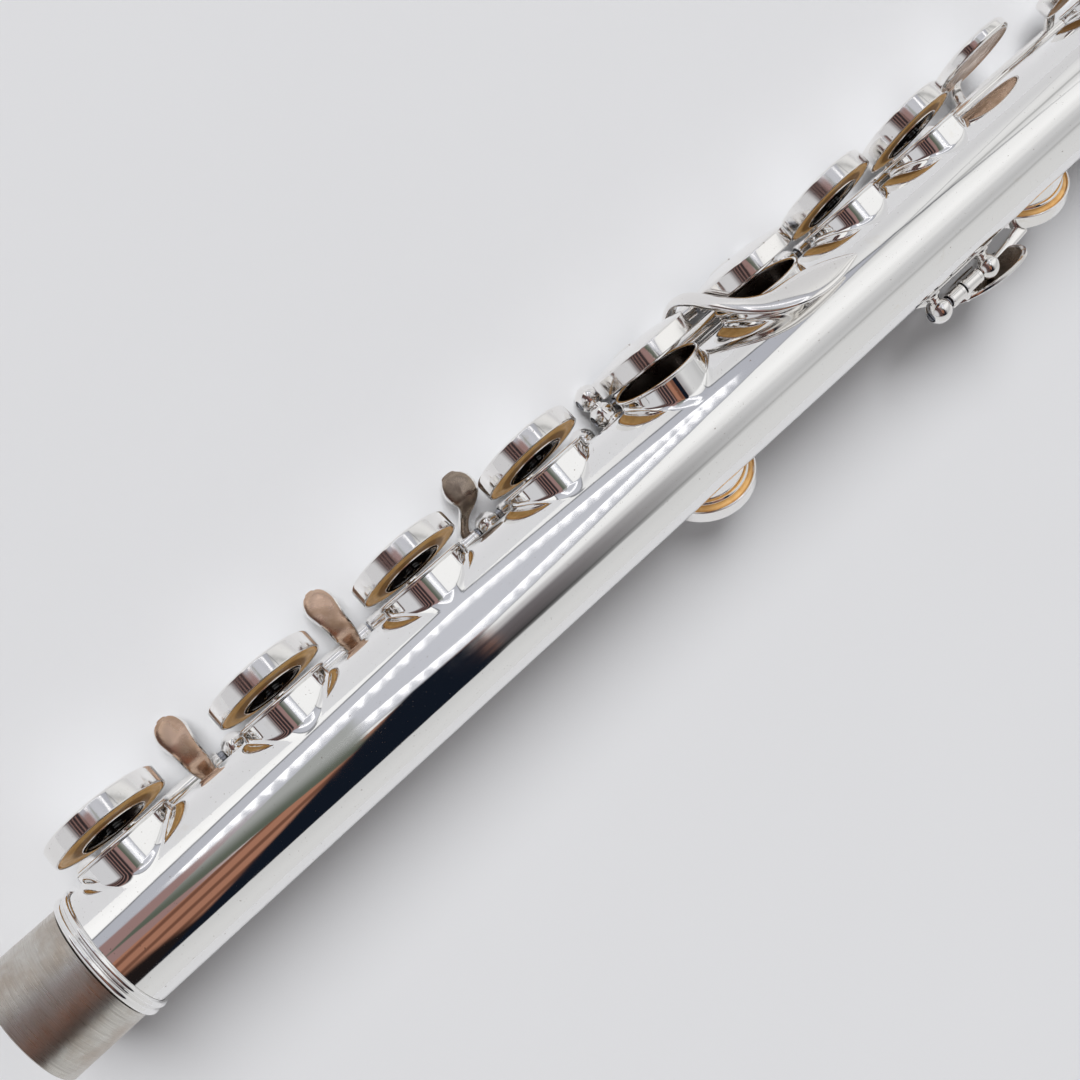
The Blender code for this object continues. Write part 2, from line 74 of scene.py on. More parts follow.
# Tone holes
RIM_H = 11.6
CHIMNEY_WALL = 0.5
FILLET = 0.7
LIP = 0.32
MAIN_ANGLE = 3.5
OFFSET_ANGLE = 17.0
BACK_ANGLE = -119.0
TRILL_ANGLE = -100.0
HOLE_ANGLES = {
    "d": MAIN_ANGLE,
    "e": MAIN_ANGLE,
    "f": MAIN_ANGLE,
    "f_sharp": MAIN_ANGLE,
    "g_lower": OFFSET_ANGLE,
    "g_upper": OFFSET_ANGLE,
    "a": MAIN_ANGLE,
    "a_sharp": MAIN_ANGLE,
    "c_sharp": MAIN_ANGLE,
    "g_sharp": BACK_ANGLE,
    "thumb": BACK_ANGLE,
    "d_trill": TRILL_ANGLE,
    "d_sharp_trill": TRILL_ANGLE,
}
SMALL_HOLES = ("c_sharp", "d_trill", "d_sharp_trill")
PAD_INSET = 0.6  # a pad is this much smaller than its cup in radius
CUP_OVERHANG = 1.5

# Cups and pads
CUP_H = 3.2
CUP_DOME = 0.9
PAD_T = 1.9
SEAL_GAP = 0.15
WASHER_R = 5.4
OPEN = -9.5
TOUCH_DISC_X = 194.0

# Rods, posts and arms
HINGE_R = 1.6
HINGE_BORE = 1.2
STEEL_R = 1.0
STEEL_INSET = 0.85
POST_BALL_R = 2.35
RIB_FLOOR = 10.0
RIB_T = 0.8

# Fineness of the meshes
SEGMENTS = 96
TUBE_ROWS = 560
TUBE_TURNS = 180
END_SIZES = (0.0, 0.35, 0.62, 0.82, 0.95)  # share of the full size of each ring that rounds an end
SHARP = math.radians(42)


# Floor and camera. The camera's place and turn are in the tube's frame
FLOOR_HALF = 3.0
FLOOR_COLOUR = (0.845, 0.855, 0.875)
EYE = Vector((30.63, 0.0, 191.53))
EYE_TURN = (9.56, -9.113, -42.53)
SENSOR = 36.0
FOCAL = 41.493

# Light tent
REACH = 186.0
FOLD_PLACE = 57.0
LAMP_PITCH = 3.0
PANEL_NEAR = (0.56, 0.57, 0.62)
PANEL_FAR = (0.44, 0.45, 0.50)
PANEL_EDGE = (0.12, 0.125, 0.14)
LAMP = (1.5, 1.5, 1.54)
WARM = (0.36, 0.17, 0.11)
WARM_DARK = (0.16, 0.07, 0.045)
BROWN_BLACK = (0.012, 0.009, 0.009)
MAUVE = (0.30, 0.19, 0.18)
OLIVE_PALE = (0.36, 0.37, 0.36)
OLIVE_DARK = (0.10, 0.115, 0.09)
NAVY = (0.006, 0.009, 0.016)
MURK = (0.030, 0.024, 0.026)
BAR = (0.24, 0.14, 0.125)
FRONT_WALL = (0.62, 0.62, 0.64)
BACKDROP = (0.72, 0.735, 0.77)
HEAD_WALL = [
    (-180, 0.66, 1.0, 1.03),
    (-90, 0.62, 1.0, 1.02),
    (-66, 0.68, 1.0, 1.02),
    (-50, 0.66, 1.0, 1.02),
    (-30, 0.80, 1.0, 1.0),
    (-23, 0.74, 1.0, 1.0),
    (-20, 0.42, 1.0, 1.0),
    (-17, 0.72, 1.0, 1.0),
    (-5, 0.90, 1.0, 1.0),
    (12, 0.95, 1.0, 1.0),
    (26, 0.80, 1.0, 1.0),
    (36, 0.62, 1.0, 1.01),
    (50, 0.52, 1.0, 1.01),
    (58, 0.56, 1.0, 1.01),
    (62, 0.44, 1.0, 1.0),
    (66, 0.60, 1.0, 1.0),
    (71, 0.66, 1.0, 1.0),
    (100, 0.68, 1.0, 1.0),
    (180, 0.66, 1.0, 1.03),
]
FOOT_WALL = [
    (-180, 0.66, 1.0, 1.03),
    (-90, 0.72, 1.0, 1.02),
    (-70, 0.92, 1.0, 1.0),
    (-45, 1.0, 1.0, 1.0),
    (-10, 0.90, 1.0, 1.0),
    (18, 0.86, 1.0, 1.0),
    (27, 0.50, 0.98, 1.0),
    (36, 0.13, 0.90, 0.95),
    (50, 0.10, 0.88, 0.92),
    (58, 0.07, 0.90, 0.95),
    (62, 0.03, 0.96, 0.98),
    (66, 0.10, 1.0, 1.0),
    (70, 0.62, 1.0, 1.0),
    (100, 0.68, 1.0, 1.0),
    (180, 0.66, 1.0, 1.03),
]


def in_tube(corner):
    """A point of the row frame, in metres, as a point of the tube's frame, in millimetres."""
    return TO_TUBE @ corner / MM


def rod_line(node):
    """Place of a steel's axis beside the tube, from its CAD box."""
    low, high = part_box(node)
    middle = in_tube((low + high) / 2)
    return (middle.y, middle.z)


def rod_span(node):
    low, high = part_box(node)
    return (in_tube(low).x, in_tube(high).x)


MAIN_ROD = rod_line("lower_steel")
OFFSET_ROD = rod_line("offset_steel")
LEVER_ROD = rod_line("g_sharp_lever_steel")
BACK_ROD = rod_line("g_sharp_steel")
THUMB_ROD = rod_line("thumb_steel")
TRILL_ROD = (7.4, -11.8)

# Each tone hole's place along the tube, its angle, its radius and its cup's radius
HOLES = {}
for hole_name, hole_angle in HOLE_ANGLES.items():
    pad_low, pad_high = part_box(hole_name + "_pad")
    cup_radius = (pad_high.x - pad_low.x) / 2 / MM + PAD_INSET
    hole_x = in_tube((pad_low + pad_high) / 2).x
    HOLES[hole_name] = (hole_x, hole_angle, cup_radius - CUP_OVERHANG, cup_radius)


# ---------------------------------------------------------------- frames


def radial(angle):
    turn = math.radians(angle)
    return Vector((0.0, math.cos(turn), math.sin(turn)))


def along_x(x=0.0, line=(0.0, 0.0)):
    """Turns a shape made along Z so that it runs along the tube on this line."""
    return Matrix.Translation((x, *line)) @ Matrix.Rotation(math.pi / 2, 4, "Y")


def standing(x, angle, height):
    """Places a shape made along Z on the tube, pointing straight out at this angle."""
    out = radial(angle)
    side = Vector((1.0, 0.0, 0.0))
    turn = Matrix((side, out.cross(side), out)).transposed().to_4x4()
    return Matrix.Translation(Vector((x, 0, 0)) + out * height) @ turn


def hinge_place(line, angle):
    """A key's own frame: X along its hinge axis, turned to its rest angle."""
    return Matrix.Translation((0, *line)) @ Matrix.Rotation(math.radians(angle), 4, "X")


# ---------------------------------------------------------------- meshes


class Shape:
    """Rings of points and the faces between them, gathered into one mesh in the tube's frame."""

    def __init__(self):
        self.points = []
        self.faces = []
        self.slots = []
        self.rings = []

    def grid(self, points, wrap_u, wrap_v, slot=0, place=None, rings=None):
        """A sheet of rows and columns of points. slot is one number or one for each row of faces."""
        rows, columns, _ = points.shape
        start = len(self.points)
        flat = points.reshape(-1, 3)
        if place is not None:
            matrix = np.array(place)
            flat = flat @ matrix[:3, :3].T + matrix[:3, 3]
        self.points.extend(flat.tolist())
        self.rings.extend([0.0] * len(flat) if rings is None else np.asarray(rings).reshape(-1).tolist())
        for row in range(rows if wrap_u else rows - 1):
            below = start + row * columns
            above = start + ((row + 1) % rows) * columns
            kind = slot if isinstance(slot, int) else slot[row]
            for column in range(columns if wrap_v else columns - 1):
                after = (column + 1) % columns
                self.faces.append((below + column, below + after, above + after, above + column))
                self.slots.append(kind)

    def mesh(self, name):
        """The mesh, with doubled points joined, in the row frame and in metres."""
        points = np.array(self.points) * MM
        matrix = np.array(TUBE_FRAME)
        points = points @ matrix[:3, :3].T + matrix[:3, 3]
        keys = np.round(points * 2e7).astype(np.int64)
        _, first, index = np.unique(keys, axis=0, return_index=True, return_inverse=True)
        index = index.reshape(-1)
        faces = []
        slots = []
        for face, slot in zip(self.faces, self.slots):
            loop = [index[corner] for corner in face]
            loop = [corner for number, corner in enumerate(loop) if corner != loop[number - 1]]
            if len(set(loop)) >= 3:
                faces.append(loop)
                slots.append(slot)
        mesh = bpy.data.meshes.new(name)
        mesh.from_pydata(points[first].tolist(), [], faces)
        mesh.polygons.foreach_set("material_index", slots)
        ring = mesh.attributes.new("ring", "FLOAT", "POINT")
        ring.data.foreach_set("value", np.array(self.rings, np.float32)[first])
        mesh.validate()
        return mesh


def rounded(corners, steps=5):
    """A profile through the corners, each given as (r, z) or (r, z, rounding)."""
    made = []
    last = len(corners) - 1
    for number, corner in enumerate(corners):
        here = np.array(corner[:2], float)
        size = corner[2] if len(corner) > 2 else 0.0
        if size == 0.0 or number in (0, last):
            made.append(here)
            continue
        before = np.array(corners[number - 1][:2], float) - here
        after = np.array(corners[number + 1][:2], float) - here
        start = here + before / np.linalg.norm(before) * min(size, np.linalg.norm(before) * 0.5)
        end = here + after / np.linalg.norm(after) * min(size, np.linalg.norm(after) * 0.5)
        for step in range(steps + 1):
            t = step / steps
            made.append((1 - t) ** 2 * start + 2 * t * (1 - t) * here + t * t * end)
    return np.array(made)


def lathe(shape, corners, place, segments=SEGMENTS, closed=False, slots=0, scale=(1.0, 1.0), lean=0.0):
    """A solid of revolution about local Z. slots may be a function of (r, z) that picks a material."""
    profile = rounded([*corners, corners[0]] if closed else corners)
    if closed:
        profile = profile[:-1]
    turns = np.linspace(0, 2 * math.pi, segments, endpoint=False)
    radius = np.maximum(profile[:, 0], 0)[:, None]
    points = np.empty((len(profile), segments, 3))
    points[:, :, 0] = radius * np.cos(turns) * scale[0]
    points[:, :, 1] = -radius * np.sin(turns) * scale[1] * (1 + lean * np.cos(turns) * radius)
    points[:, :, 2] = profile[:, 1][:, None]
    if callable(slots):
        slots = [slots(*middle) for middle in (profile + np.roll(profile, -1, axis=0)) / 2]
    shape.grid(points, closed, True, slots, place, np.repeat(radius, segments, axis=1))


def spline(points, steps):
    """A smooth curve through the points, which may have any number of columns."""
    points = np.array(points, float)
    padded = np.vstack([2 * points[0] - points[1], points, 2 * points[-1] - points[-2]])
    made = []
    for number in range(1, len(padded) - 2):
        a, b, c, d = padded[number - 1 : number + 3]
        for step in range(steps):
            t = step / steps
            square = (2 * a - 5 * b + 4 * c - d) * t**2
            cube = (3 * b - a - 3 * c + d) * t**3
            made.append(0.5 * (2 * b + (c - a) * t + square + cube))
    made.append(points[-1])
    return np.array(made)


def sweep(shape, stations, place=None, steps=6, around=28, power=3.0, face_slot=0, faces=0):
    """A bar with round ends through stations (x, y, z, half width, half thickness, width direction x, y, z).

    face_slot is the material of one broad side, and faces says which, +1 or -1.
    """
    rows = spline(stations, steps)
    centre = rows[:, :3]
    tangent = np.gradient(centre, axis=0)
    tangent /= np.linalg.norm(tangent, axis=1)[:, None]
    width = rows[:, 5:8]
    width = width - (width * tangent).sum(1)[:, None] * tangent
    width /= np.linalg.norm(width, axis=1)[:, None]
    normal = np.cross(tangent, width)
    turns = np.linspace(0, 2 * math.pi, around, endpoint=False)
    across = np.sign(np.cos(turns)) * np.abs(np.cos(turns)) ** (2 / power)
    up = np.sign(np.sin(turns)) * np.abs(np.sin(turns)) ** (2 / power)

    def dome(number, away, sizes):
        """Shrinking rings past one end."""
        reach = max(rows[number, 4], 0.1)
        return [(centre[number] + away * reach * math.sqrt(1 - e * e), number, max(e, 0.001)) for e in sizes]

    last = len(rows) - 1
    made = dome(0, -tangent[0], END_SIZES)
    made += [(middle, number, 1.0) for number, middle in enumerate(centre)]
    made += dome(last, tangent[last], END_SIZES[::-1])
    points = np.empty((len(made), around, 3))
    for row, (middle, number, size) in enumerate(made):
        points[row] = (
            middle
            + np.outer(across * rows[number, 3] * size, width[number])
            + np.outer(up * rows[number, 4] * size, normal[number])
        )
    start = len(shape.faces)
    shape.grid(points, False, True, 0, place)
    if face_slot:
        for offset in range(len(shape.faces) - start):
            column = offset % around
            middle = math.sin((turns[column] + math.pi / around)) * faces
            if middle > 0.55:
                shape.slots[start + offset] = face_slot


def tube_bar(shape, x0, x1, radius, line, place=None, bore=None, soften=0.15, segments=40):
    """A rod or hinge tube along the flute, with softened ends."""
    here = (place if place is not None else Matrix()) @ along_x(x0, line)
    length = x1 - x0
    if bore is None:
        corners = [(0, length), (radius, length, soften), (radius, 0, soften), (0, 0)]
        lathe(shape, corners, here, segments)
    else:
        corners = [
            (bore, length),
            (radius - soften, length),
            (radius, length - soften),
            (radius, soften),
            (radius - soften, 0),
            (bore, 0),
        ]
        lathe(shape, corners, here, segments, closed=True)


def slotted_head(shape, place, radius, height, slot, depth):
    """A screw head: a low dome with a straight slot across it."""
    half = np.concatenate([np.linspace(slot, radius * 0.98, 8), [radius]])
    left = [(-value, 0.0) for value in half[::-1]]
    right = [(value, 0.0) for value in half]
    lines = [*left, (-slot, depth), (slot, depth), *right]
    steps = np.linspace(-1, 1, 21)
    points = np.empty((len(lines) + 2, len(steps) + 2, 3))
    for row, (across, lowered) in enumerate(lines, start=1):
        reach = math.sqrt(max(radius * radius - across * across, 1e-9))
        along = steps * reach
        gone = (across * across + along * along) / (radius * radius)
        points[row, 1:-1, 0] = across
        points[row, 1:-1, 1] = along
        points[row, 1:-1, 2] = height * (1 - 0.35 * gone**2) - lowered
        points[row, 0] = (across, -reach, 0)
        points[row, -1] = (across, reach, 0)
    points[0] = points[1]
    points[-1] = points[-2]
    points[0, :, 2] = 0
    points[-1, :, 2] = 0
    shape.grid(points, False, False, 0, place)


def show(shape, name, materials, body, replaced=()):
    """Makes the piece, sets it on its CAD body and hides the CAD nodes it stands for."""
    obj = bpy.data.objects.new(name, shape.mesh(name))
    bpy.context.scene.collection.objects.link(obj)
    for finish in materials:
        obj.data.materials.append(finish)
    obj.data.shade_smooth()
    obj.data.set_sharp_from_angle(angle=SHARP)
    weight = obj.modifiers.new("even_normals", "WEIGHTED_NORMAL")
    weight.keep_sharp = True
    weight.weight = 80
    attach(obj, body)
    if replaced:
        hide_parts(*replaced)


# ---------------------------------------------------------------- materials


class Graph:
    """Short ways to add and link shader nodes."""

    def __init__(self, tree):
        self.tree = tree
        tree.nodes.clear()

    def node(self, kind, **settings):
        made = self.tree.nodes.new(kind)
        for key, value in settings.items():
            setattr(made, key, value)
        return made

    def feed(self, socket, value):
        if isinstance(value, bpy.types.NodeSocket):
            self.tree.links.new(value, socket)
        else:
            socket.default_value = value

    def math(self, operation, a, b=0.0, c=0.0):
        made = self.node("ShaderNodeMath", operation=operation)
        for socket, value in zip(made.inputs, (a, b, c)):
            self.feed(socket, value)
        return made.outputs[0]

    def add(self, a, b):
        return self.math("ADD", a, b)

    def times(self, a, b):
        return self.math("MULTIPLY", a, b)

    def ease(self, value, low, high, start=0.0, end=1.0):
        """A smooth step from start to end as value goes from low to high."""
        made = self.node("ShaderNodeMapRange", interpolation_type="SMOOTHSTEP")
        names = ("Value", "From Min", "From Max", "To Min", "To Max")
        for name, number in zip(names, (value, low, high, start, end)):
            self.feed(made.inputs[name], number)
        return made.outputs[0]

    def band(self, value, low, high, soft):
        """1 between low and high, 0 outside, with soft edges."""
        rise = self.ease(value, low - soft, low + soft)
        return self.times(rise, self.ease(value, high - soft, high + soft, 1.0, 0.0))

    def tint(self, socket, colour):
        self.feed(socket, (*colour, 1.0) if isinstance(colour, tuple) else colour)

    def mix(self, factor, a, b):
        made = self.node("ShaderNodeMix", data_type="RGBA", clamp_factor=True)
        self.feed(made.inputs[0], factor)
        self.tint(made.inputs[6], a)
        self.tint(made.inputs[7], b)
        return made.outputs[2]

    def ramp(self, value, stops):
        """A colour ramp through (place, colour) stops."""
        made = self.node("ShaderNodeValToRGB")
        made.color_ramp.interpolation = "EASE"
        elements = made.color_ramp.elements
        while len(elements) > 1:
            elements.remove(elements[-1])
        elements[0].position = stops[0][0]
        elements[0].color = (*stops[0][1], 1.0)
        for place, colour in stops[1:]:
            elements.new(place).color = (*colour, 1.0)
        self.feed(made.inputs[0], value)
        return made.outputs[0]

    def place_mm(self, stretch=(1.0, 1.0, 1.0)):
        """The surface point in millimetres, stretched along the tube and across it."""
        coords = self.node("ShaderNodeTexCoord")
        mapping = self.node("ShaderNodeMapping")
        self.feed(mapping.inputs["Vector"], coords.outputs["Object"])
        mapping.inputs["Scale"].default_value = [value / MM for value in stretch]
        return mapping.outputs[0]

    def noise(self, vector, scale, detail=3.0, roughness=0.5, distortion=0.0):
        made = self.node("ShaderNodeTexNoise")
        self.feed(made.inputs["Vector"], vector)
        made.inputs["Scale"].default_value = scale
        made.inputs["Detail"].default_value = detail
        made.inputs["Roughness"].default_value = roughness
        made.inputs["Distortion"].default_value = distortion
        return made.outputs["Fac"]

    def bump(self, height, strength, distance, normal=None):
        made = self.node("ShaderNodeBump")
        made.inputs["Strength"].default_value = strength
        made.inputs["Distance"].default_value = distance
        self.feed(made.inputs["Height"], height)
        if normal is not None:
            self.feed(made.inputs["Normal"], normal)
        return made.outputs[0]

    def surface(self, metallic, colour, roughness, normal=None, **more):
        shader = self.node("ShaderNodeBsdfPrincipled")
        output = self.node("ShaderNodeOutputMaterial")
        shader.inputs["Metallic"].default_value = metallic
        self.tint(shader.inputs["Base Color"], colour)
        self.feed(shader.inputs["Roughness"], roughness)
        if normal is not None:
            self.feed(shader.inputs["Normal"], normal)
        for name, value in more.items():
            self.feed(shader.inputs[name.replace("_", " ")], value)
        self.feed(output.inputs["Surface"], shader.outputs[0])


def new_material(name):
    made = bpy.data.materials.new(name)
    made.use_nodes = True
    return made, Graph(made.node_tree)


def silver(name, colour, rough, worn, haze, specks):
    """Polished silver plate: haze and fine wipe marks in the gloss, tarnish patches and a few dark specks."""
    made, g = new_material(name)
    here = g.place_mm()
    cloud = g.noise(here, 0.09, 4.0, 0.6)
    wipe = g.noise(g.place_mm((0.25, 2.2, 2.2)), 1.0, 5.0, 0.65)
    pits = g.ease(g.noise(here, 4.2, 1.0, 0.5), 0.755, 0.79)
    patch = g.ease(g.noise(here, 0.22, 5.0, 0.62, 0.6), 0.62, 0.78)
    dots = g.math("MAXIMUM", g.ease(g.noise(here, 1.9, 2.0, 0.5), 0.735, 0.785), pits)
    shade = g.mix(g.times(patch, worn), colour, (colour[0] * 0.80, colour[1] * 0.72, colour[2] * 0.60))
    shade = g.mix(g.times(dots, specks), shade, (0.22, 0.17, 0.12))
    gloss = g.add(g.times(g.ease(cloud, 0.40, 0.70), haze), rough)
    gloss = g.add(gloss, g.times(g.ease(wipe, 0.55, 0.75), haze * 0.6))
    gloss = g.add(gloss, g.times(dots, 0.3 * specks))
    normal = g.bump(g.noise(g.place_mm((0.35, 1.0, 1.0)), 0.35, 2.0), 0.05, 0.0002)
    normal = g.bump(wipe, 0.02, 0.00005, normal)
    g.surface(1.0, shade, gloss, normal)
    return made


def tarnished(name, colour, dark):
    """The inner side of a touch, brown with old tarnish and handled bright in places."""
    made, g = new_material(name)
    here = g.place_mm()
    cloud = g.noise(here, 0.32, 4.0, 0.5, 0.3)
    grain = g.noise(here, 5.0, 3.0, 0.6)
    shade = g.mix(g.ease(cloud, 0.38, 0.75), colour, dark)
    shade = g.mix(g.times(g.ease(grain, 0.5, 0.8), 0.22), shade, (0.12, 0.08, 0.06))
    normal = g.bump(grain, 0.10, 0.00008)
    g.surface(1.0, shade, g.ease(cloud, 0.3, 0.8, 0.20, 0.38), normal)
    return made


def tenon_silver():
    """Bare metal rubbed satin by the foot joint: fine rings round it and brown patches."""
    made, g = new_material("tenon_silver")
    rings = g.noise(g.place_mm((9.0, 0.12, 0.12)), 1.0, 4.0, 0.7)
    cloud = g.noise(g.place_mm(), 0.16, 4.0, 0.6)
    shade = g.mix(g.ease(cloud, 0.38, 0.68), (0.66, 0.64, 0.60), (0.50, 0.44, 0.38))
    shade = g.mix(g.times(g.ease(rings, 0.45, 0.70), 0.45), shade, (0.36, 0.33, 0.30))
    gloss = g.ease(rings, 0.3, 0.75, 0.24, 0.42)
    g.surface(1.0, shade, gloss, g.bump(rings, 0.22, 0.00006))
    return made


def blued():
    """Steel of the rods, screws and springs, with turning marks."""
    made, g = new_material("blued_steel_turned")
    marks = g.noise(g.place_mm((6.0, 0.8, 0.8)), 1.0, 3.0, 0.6)
    shade = g.mix(g.ease(marks, 0.35, 0.70), (0.42, 0.43, 0.46), (0.24, 0.25, 0.29))
    g.surface(1.0, shade, g.ease(marks, 0.3, 0.8, 0.16, 0.30), g.bump(marks, 0.08, 0.00004))
    return made


def pad_skin():
    """Bladder skin over felt: ochre, browner inside the seat ring that the tone hole has pressed in."""
    made, g = new_material("pad_skin_ochre_painted_glow")
    ring = g.node("ShaderNodeAttribute", attribute_name="ring").outputs["Fac"]
    here = g.place_mm()
    cloud = g.noise(here, 0.5, 5.0, 0.6, 0.5)
    fibre = g.noise(here, 6.0, 3.0, 0.65)
    shade = g.mix(g.ease(cloud, 0.3, 0.7), (0.80, 0.49, 0.19), (0.66, 0.37, 0.13))
    shade = g.mix(g.band(ring, 0.0, 6.7, 0.35), shade, (0.34, 0.17, 0.055))
    shade = g.mix(g.times(g.ease(fibre, 0.5, 0.8), 0.35), shade, (0.86, 0.64, 0.36))
    normal = g.bump(fibre, 0.25, 0.00008)
    gloss = g.ease(cloud, 0.3, 0.8, 0.42, 0.62)
    coat = {"Coat_Weight": 0.25, "Coat_Roughness": 0.25}
    # The skin glows faintly in its own colour: painted light, standing in for the light that the tube and the
    # table bounce onto the pads.
    g.surface(0.0, shade, gloss, normal, Emission_Color=shade, Emission_Strength=0.22, **coat)
    return made


def washer_black():
    """The dark, glossy pad washer."""
    made, g = new_material("pad_washer_black")
    cloud = g.noise(g.place_mm(), 0.8, 4.0, 0.6)
    shade = g.mix(g.ease(cloud, 0.4, 0.8), (0.012, 0.012, 0.014), (0.035, 0.03, 0.028))
    gloss = g.ease(cloud, 0.35, 0.8, 0.06, 0.16)
    g.surface(0.0, shade, gloss, Specular_IOR_Level=0.6, Coat_Weight=0.6, Coat_Roughness=0.04)
    return made


def bore_dark():
    """The inside of the tube and of the tone holes, dulled and browned."""
    made, g = new_material("bore_tarnish")
    cloud = g.noise(g.place_mm(), 0.4, 4.0, 0.6)
    shade = g.mix(g.ease(cloud, 0.35, 0.7), (0.20, 0.17, 0.15), (0.10, 0.08, 0.07))
    g.surface(1.0, shade, g.ease(cloud, 0.3, 0.8, 0.25, 0.45))
    return made


SILVER = (0.93, 0.925, 0.915)
TUBE_SILVER = silver("tube_silver_polished", SILVER, 0.035, 0.18, 0.035, 0.8)
KEY_SILVER = silver("key_silver_polished", (0.92, 0.905, 0.885), 0.075, 0.45, 0.08, 1.0)
TAN_TARNISH = tarnished("touch_tan_tarnish", (0.66, 0.47, 0.35), (0.46, 0.30, 0.20))
GREY_TARNISH = tarnished("touch_grey_tarnish", (0.36, 0.29, 0.23), (0.17, 0.13, 0.10))
TENON = tenon_silver()
STEEL = blued()
PAD = pad_skin()
WASHER = washer_black()
BORE = bore_dark()
KEY_SET = [KEY_SILVER, TAN_TARNISH, GREY_TARNISH]


# ---------------------------------------------------------------- tube


def tube_wall(shape, radius, inward, slot):
    """One side of the tube's wall, open where the tone holes are. inward says which way its rows turn."""
    xs = np.arange(TUBE_X[0], TUBE_X[1] + 0.01, (TUBE_X[1] - TUBE_X[0]) / TUBE_ROWS)
    turns = np.linspace(0, 2 * math.pi, TUBE_TURNS, endpoint=False) * (1 if inward else -1)
    points = np.empty((len(xs), len(turns), 3))
    points[:, :, 0] = xs[:, None]
    points[:, :, 1] = radius * np.cos(turns)
    points[:, :, 2] = -radius * np.sin(turns)
    start = len(shape.faces)
    shape.grid(points, False, True, slot)
    kept = []
    for face in shape.faces[start:]:
        middle = (Vector(shape.points[face[0]]) + Vector(shape.points[face[2]])) / 2
        if not any(in_hole(middle, *hole[:3]) for hole in HOLES.values()):
            kept.append(face)
    shape.faces[start:] = kept
    shape.slots[start:] = [slot] * len(kept)


def in_hole(point, x, angle, radius):
    """True where a point of the wall lies in the mouth of this tone hole."""
    if abs(point.x - x) > radius:
        return False
    out = radial(angle)
    if point.dot(out) < 0:
        return False
    across = point.dot(Vector((0.0, -out.z, out.y)))
    return (point.x - x) ** 2 + across**2 < (radius - 0.15) ** 2


def chimney(shape, x, angle, radius):
    """A drawn tone hole: a skirt that leaves the tube smoothly, a rolled rim and the wall inside."""
    turns = np.linspace(0, 2 * math.pi, 120, endpoint=False)
    reach = min(radius + FILLET, TUBE_R - 0.35)
    rows = []

    def tube_height(distance, wall=TUBE_R):
        return np.sqrt(np.maximum(wall**2 - (distance * np.sin(turns)) ** 2, 0))

    rows.append((np.full_like(turns, reach + 0.35), tube_height(reach + 0.35) - 0.03))
    foot = tube_height(reach)
    slope = reach * np.sin(turns) ** 2 / foot
    corner = foot + slope * (reach - radius)
    top = np.minimum(corner + (reach - radius), RIM_H - 0.8)
    for t in np.linspace(0, 1, 11):
        distance = (1 - t) ** 2 * reach + 2 * t * (1 - t) * radius + t * t * radius
        height = (1 - t) ** 2 * foot + 2 * t * (1 - t) * corner + t * t * top
        rows.append((np.full_like(turns, distance), height))
    middle = RIM_H - LIP
    wall = np.full_like(turns, radius)
    for height in np.linspace(0.35, 1.0, 3):
        rows.append((wall, top + (middle - 0.35 - top) * height))
    for swing in np.radians(np.linspace(-60, 200, 14)):
        across = radius - 0.08 + LIP * math.cos(swing)
        rows.append((np.full_like(turns, across), np.full_like(turns, middle + LIP * math.sin(swing))))
    inside = radius - CHIMNEY_WALL
    rows.append((np.full_like(turns, inside), np.full_like(turns, middle - 0.45)))
    rows.append((np.full_like(turns, inside), tube_height(inside, BORE_R) - 0.25))
    points = np.empty((len(rows), len(turns), 3))
    for row, (distance, height) in enumerate(rows):
        points[row, :, 0] = distance * np.cos(turns)
        points[row, :, 1] = -distance * np.sin(turns)
        points[row, :, 2] = height
    shape.grid(points[::-1], False, True, [1] + [0] * (len(rows) - 1), standing(x, angle, 0))


def bore_side(radius):
    """Picks the second material inside this radius and the first outside it."""
    return lambda r, z: 1 if r < radius + 0.02 else 0


def beads(middles, centre, bead, spread, count):
    """Round beads of a profile, from the one with the largest z down."""
    swings = np.radians(np.linspace(spread, -spread, count))
    bead_points = [(centre + bead * math.cos(swing), bead * math.sin(swing)) for swing in swings]
    return [(r, middle + z) for middle in middles for r, z in bead_points]


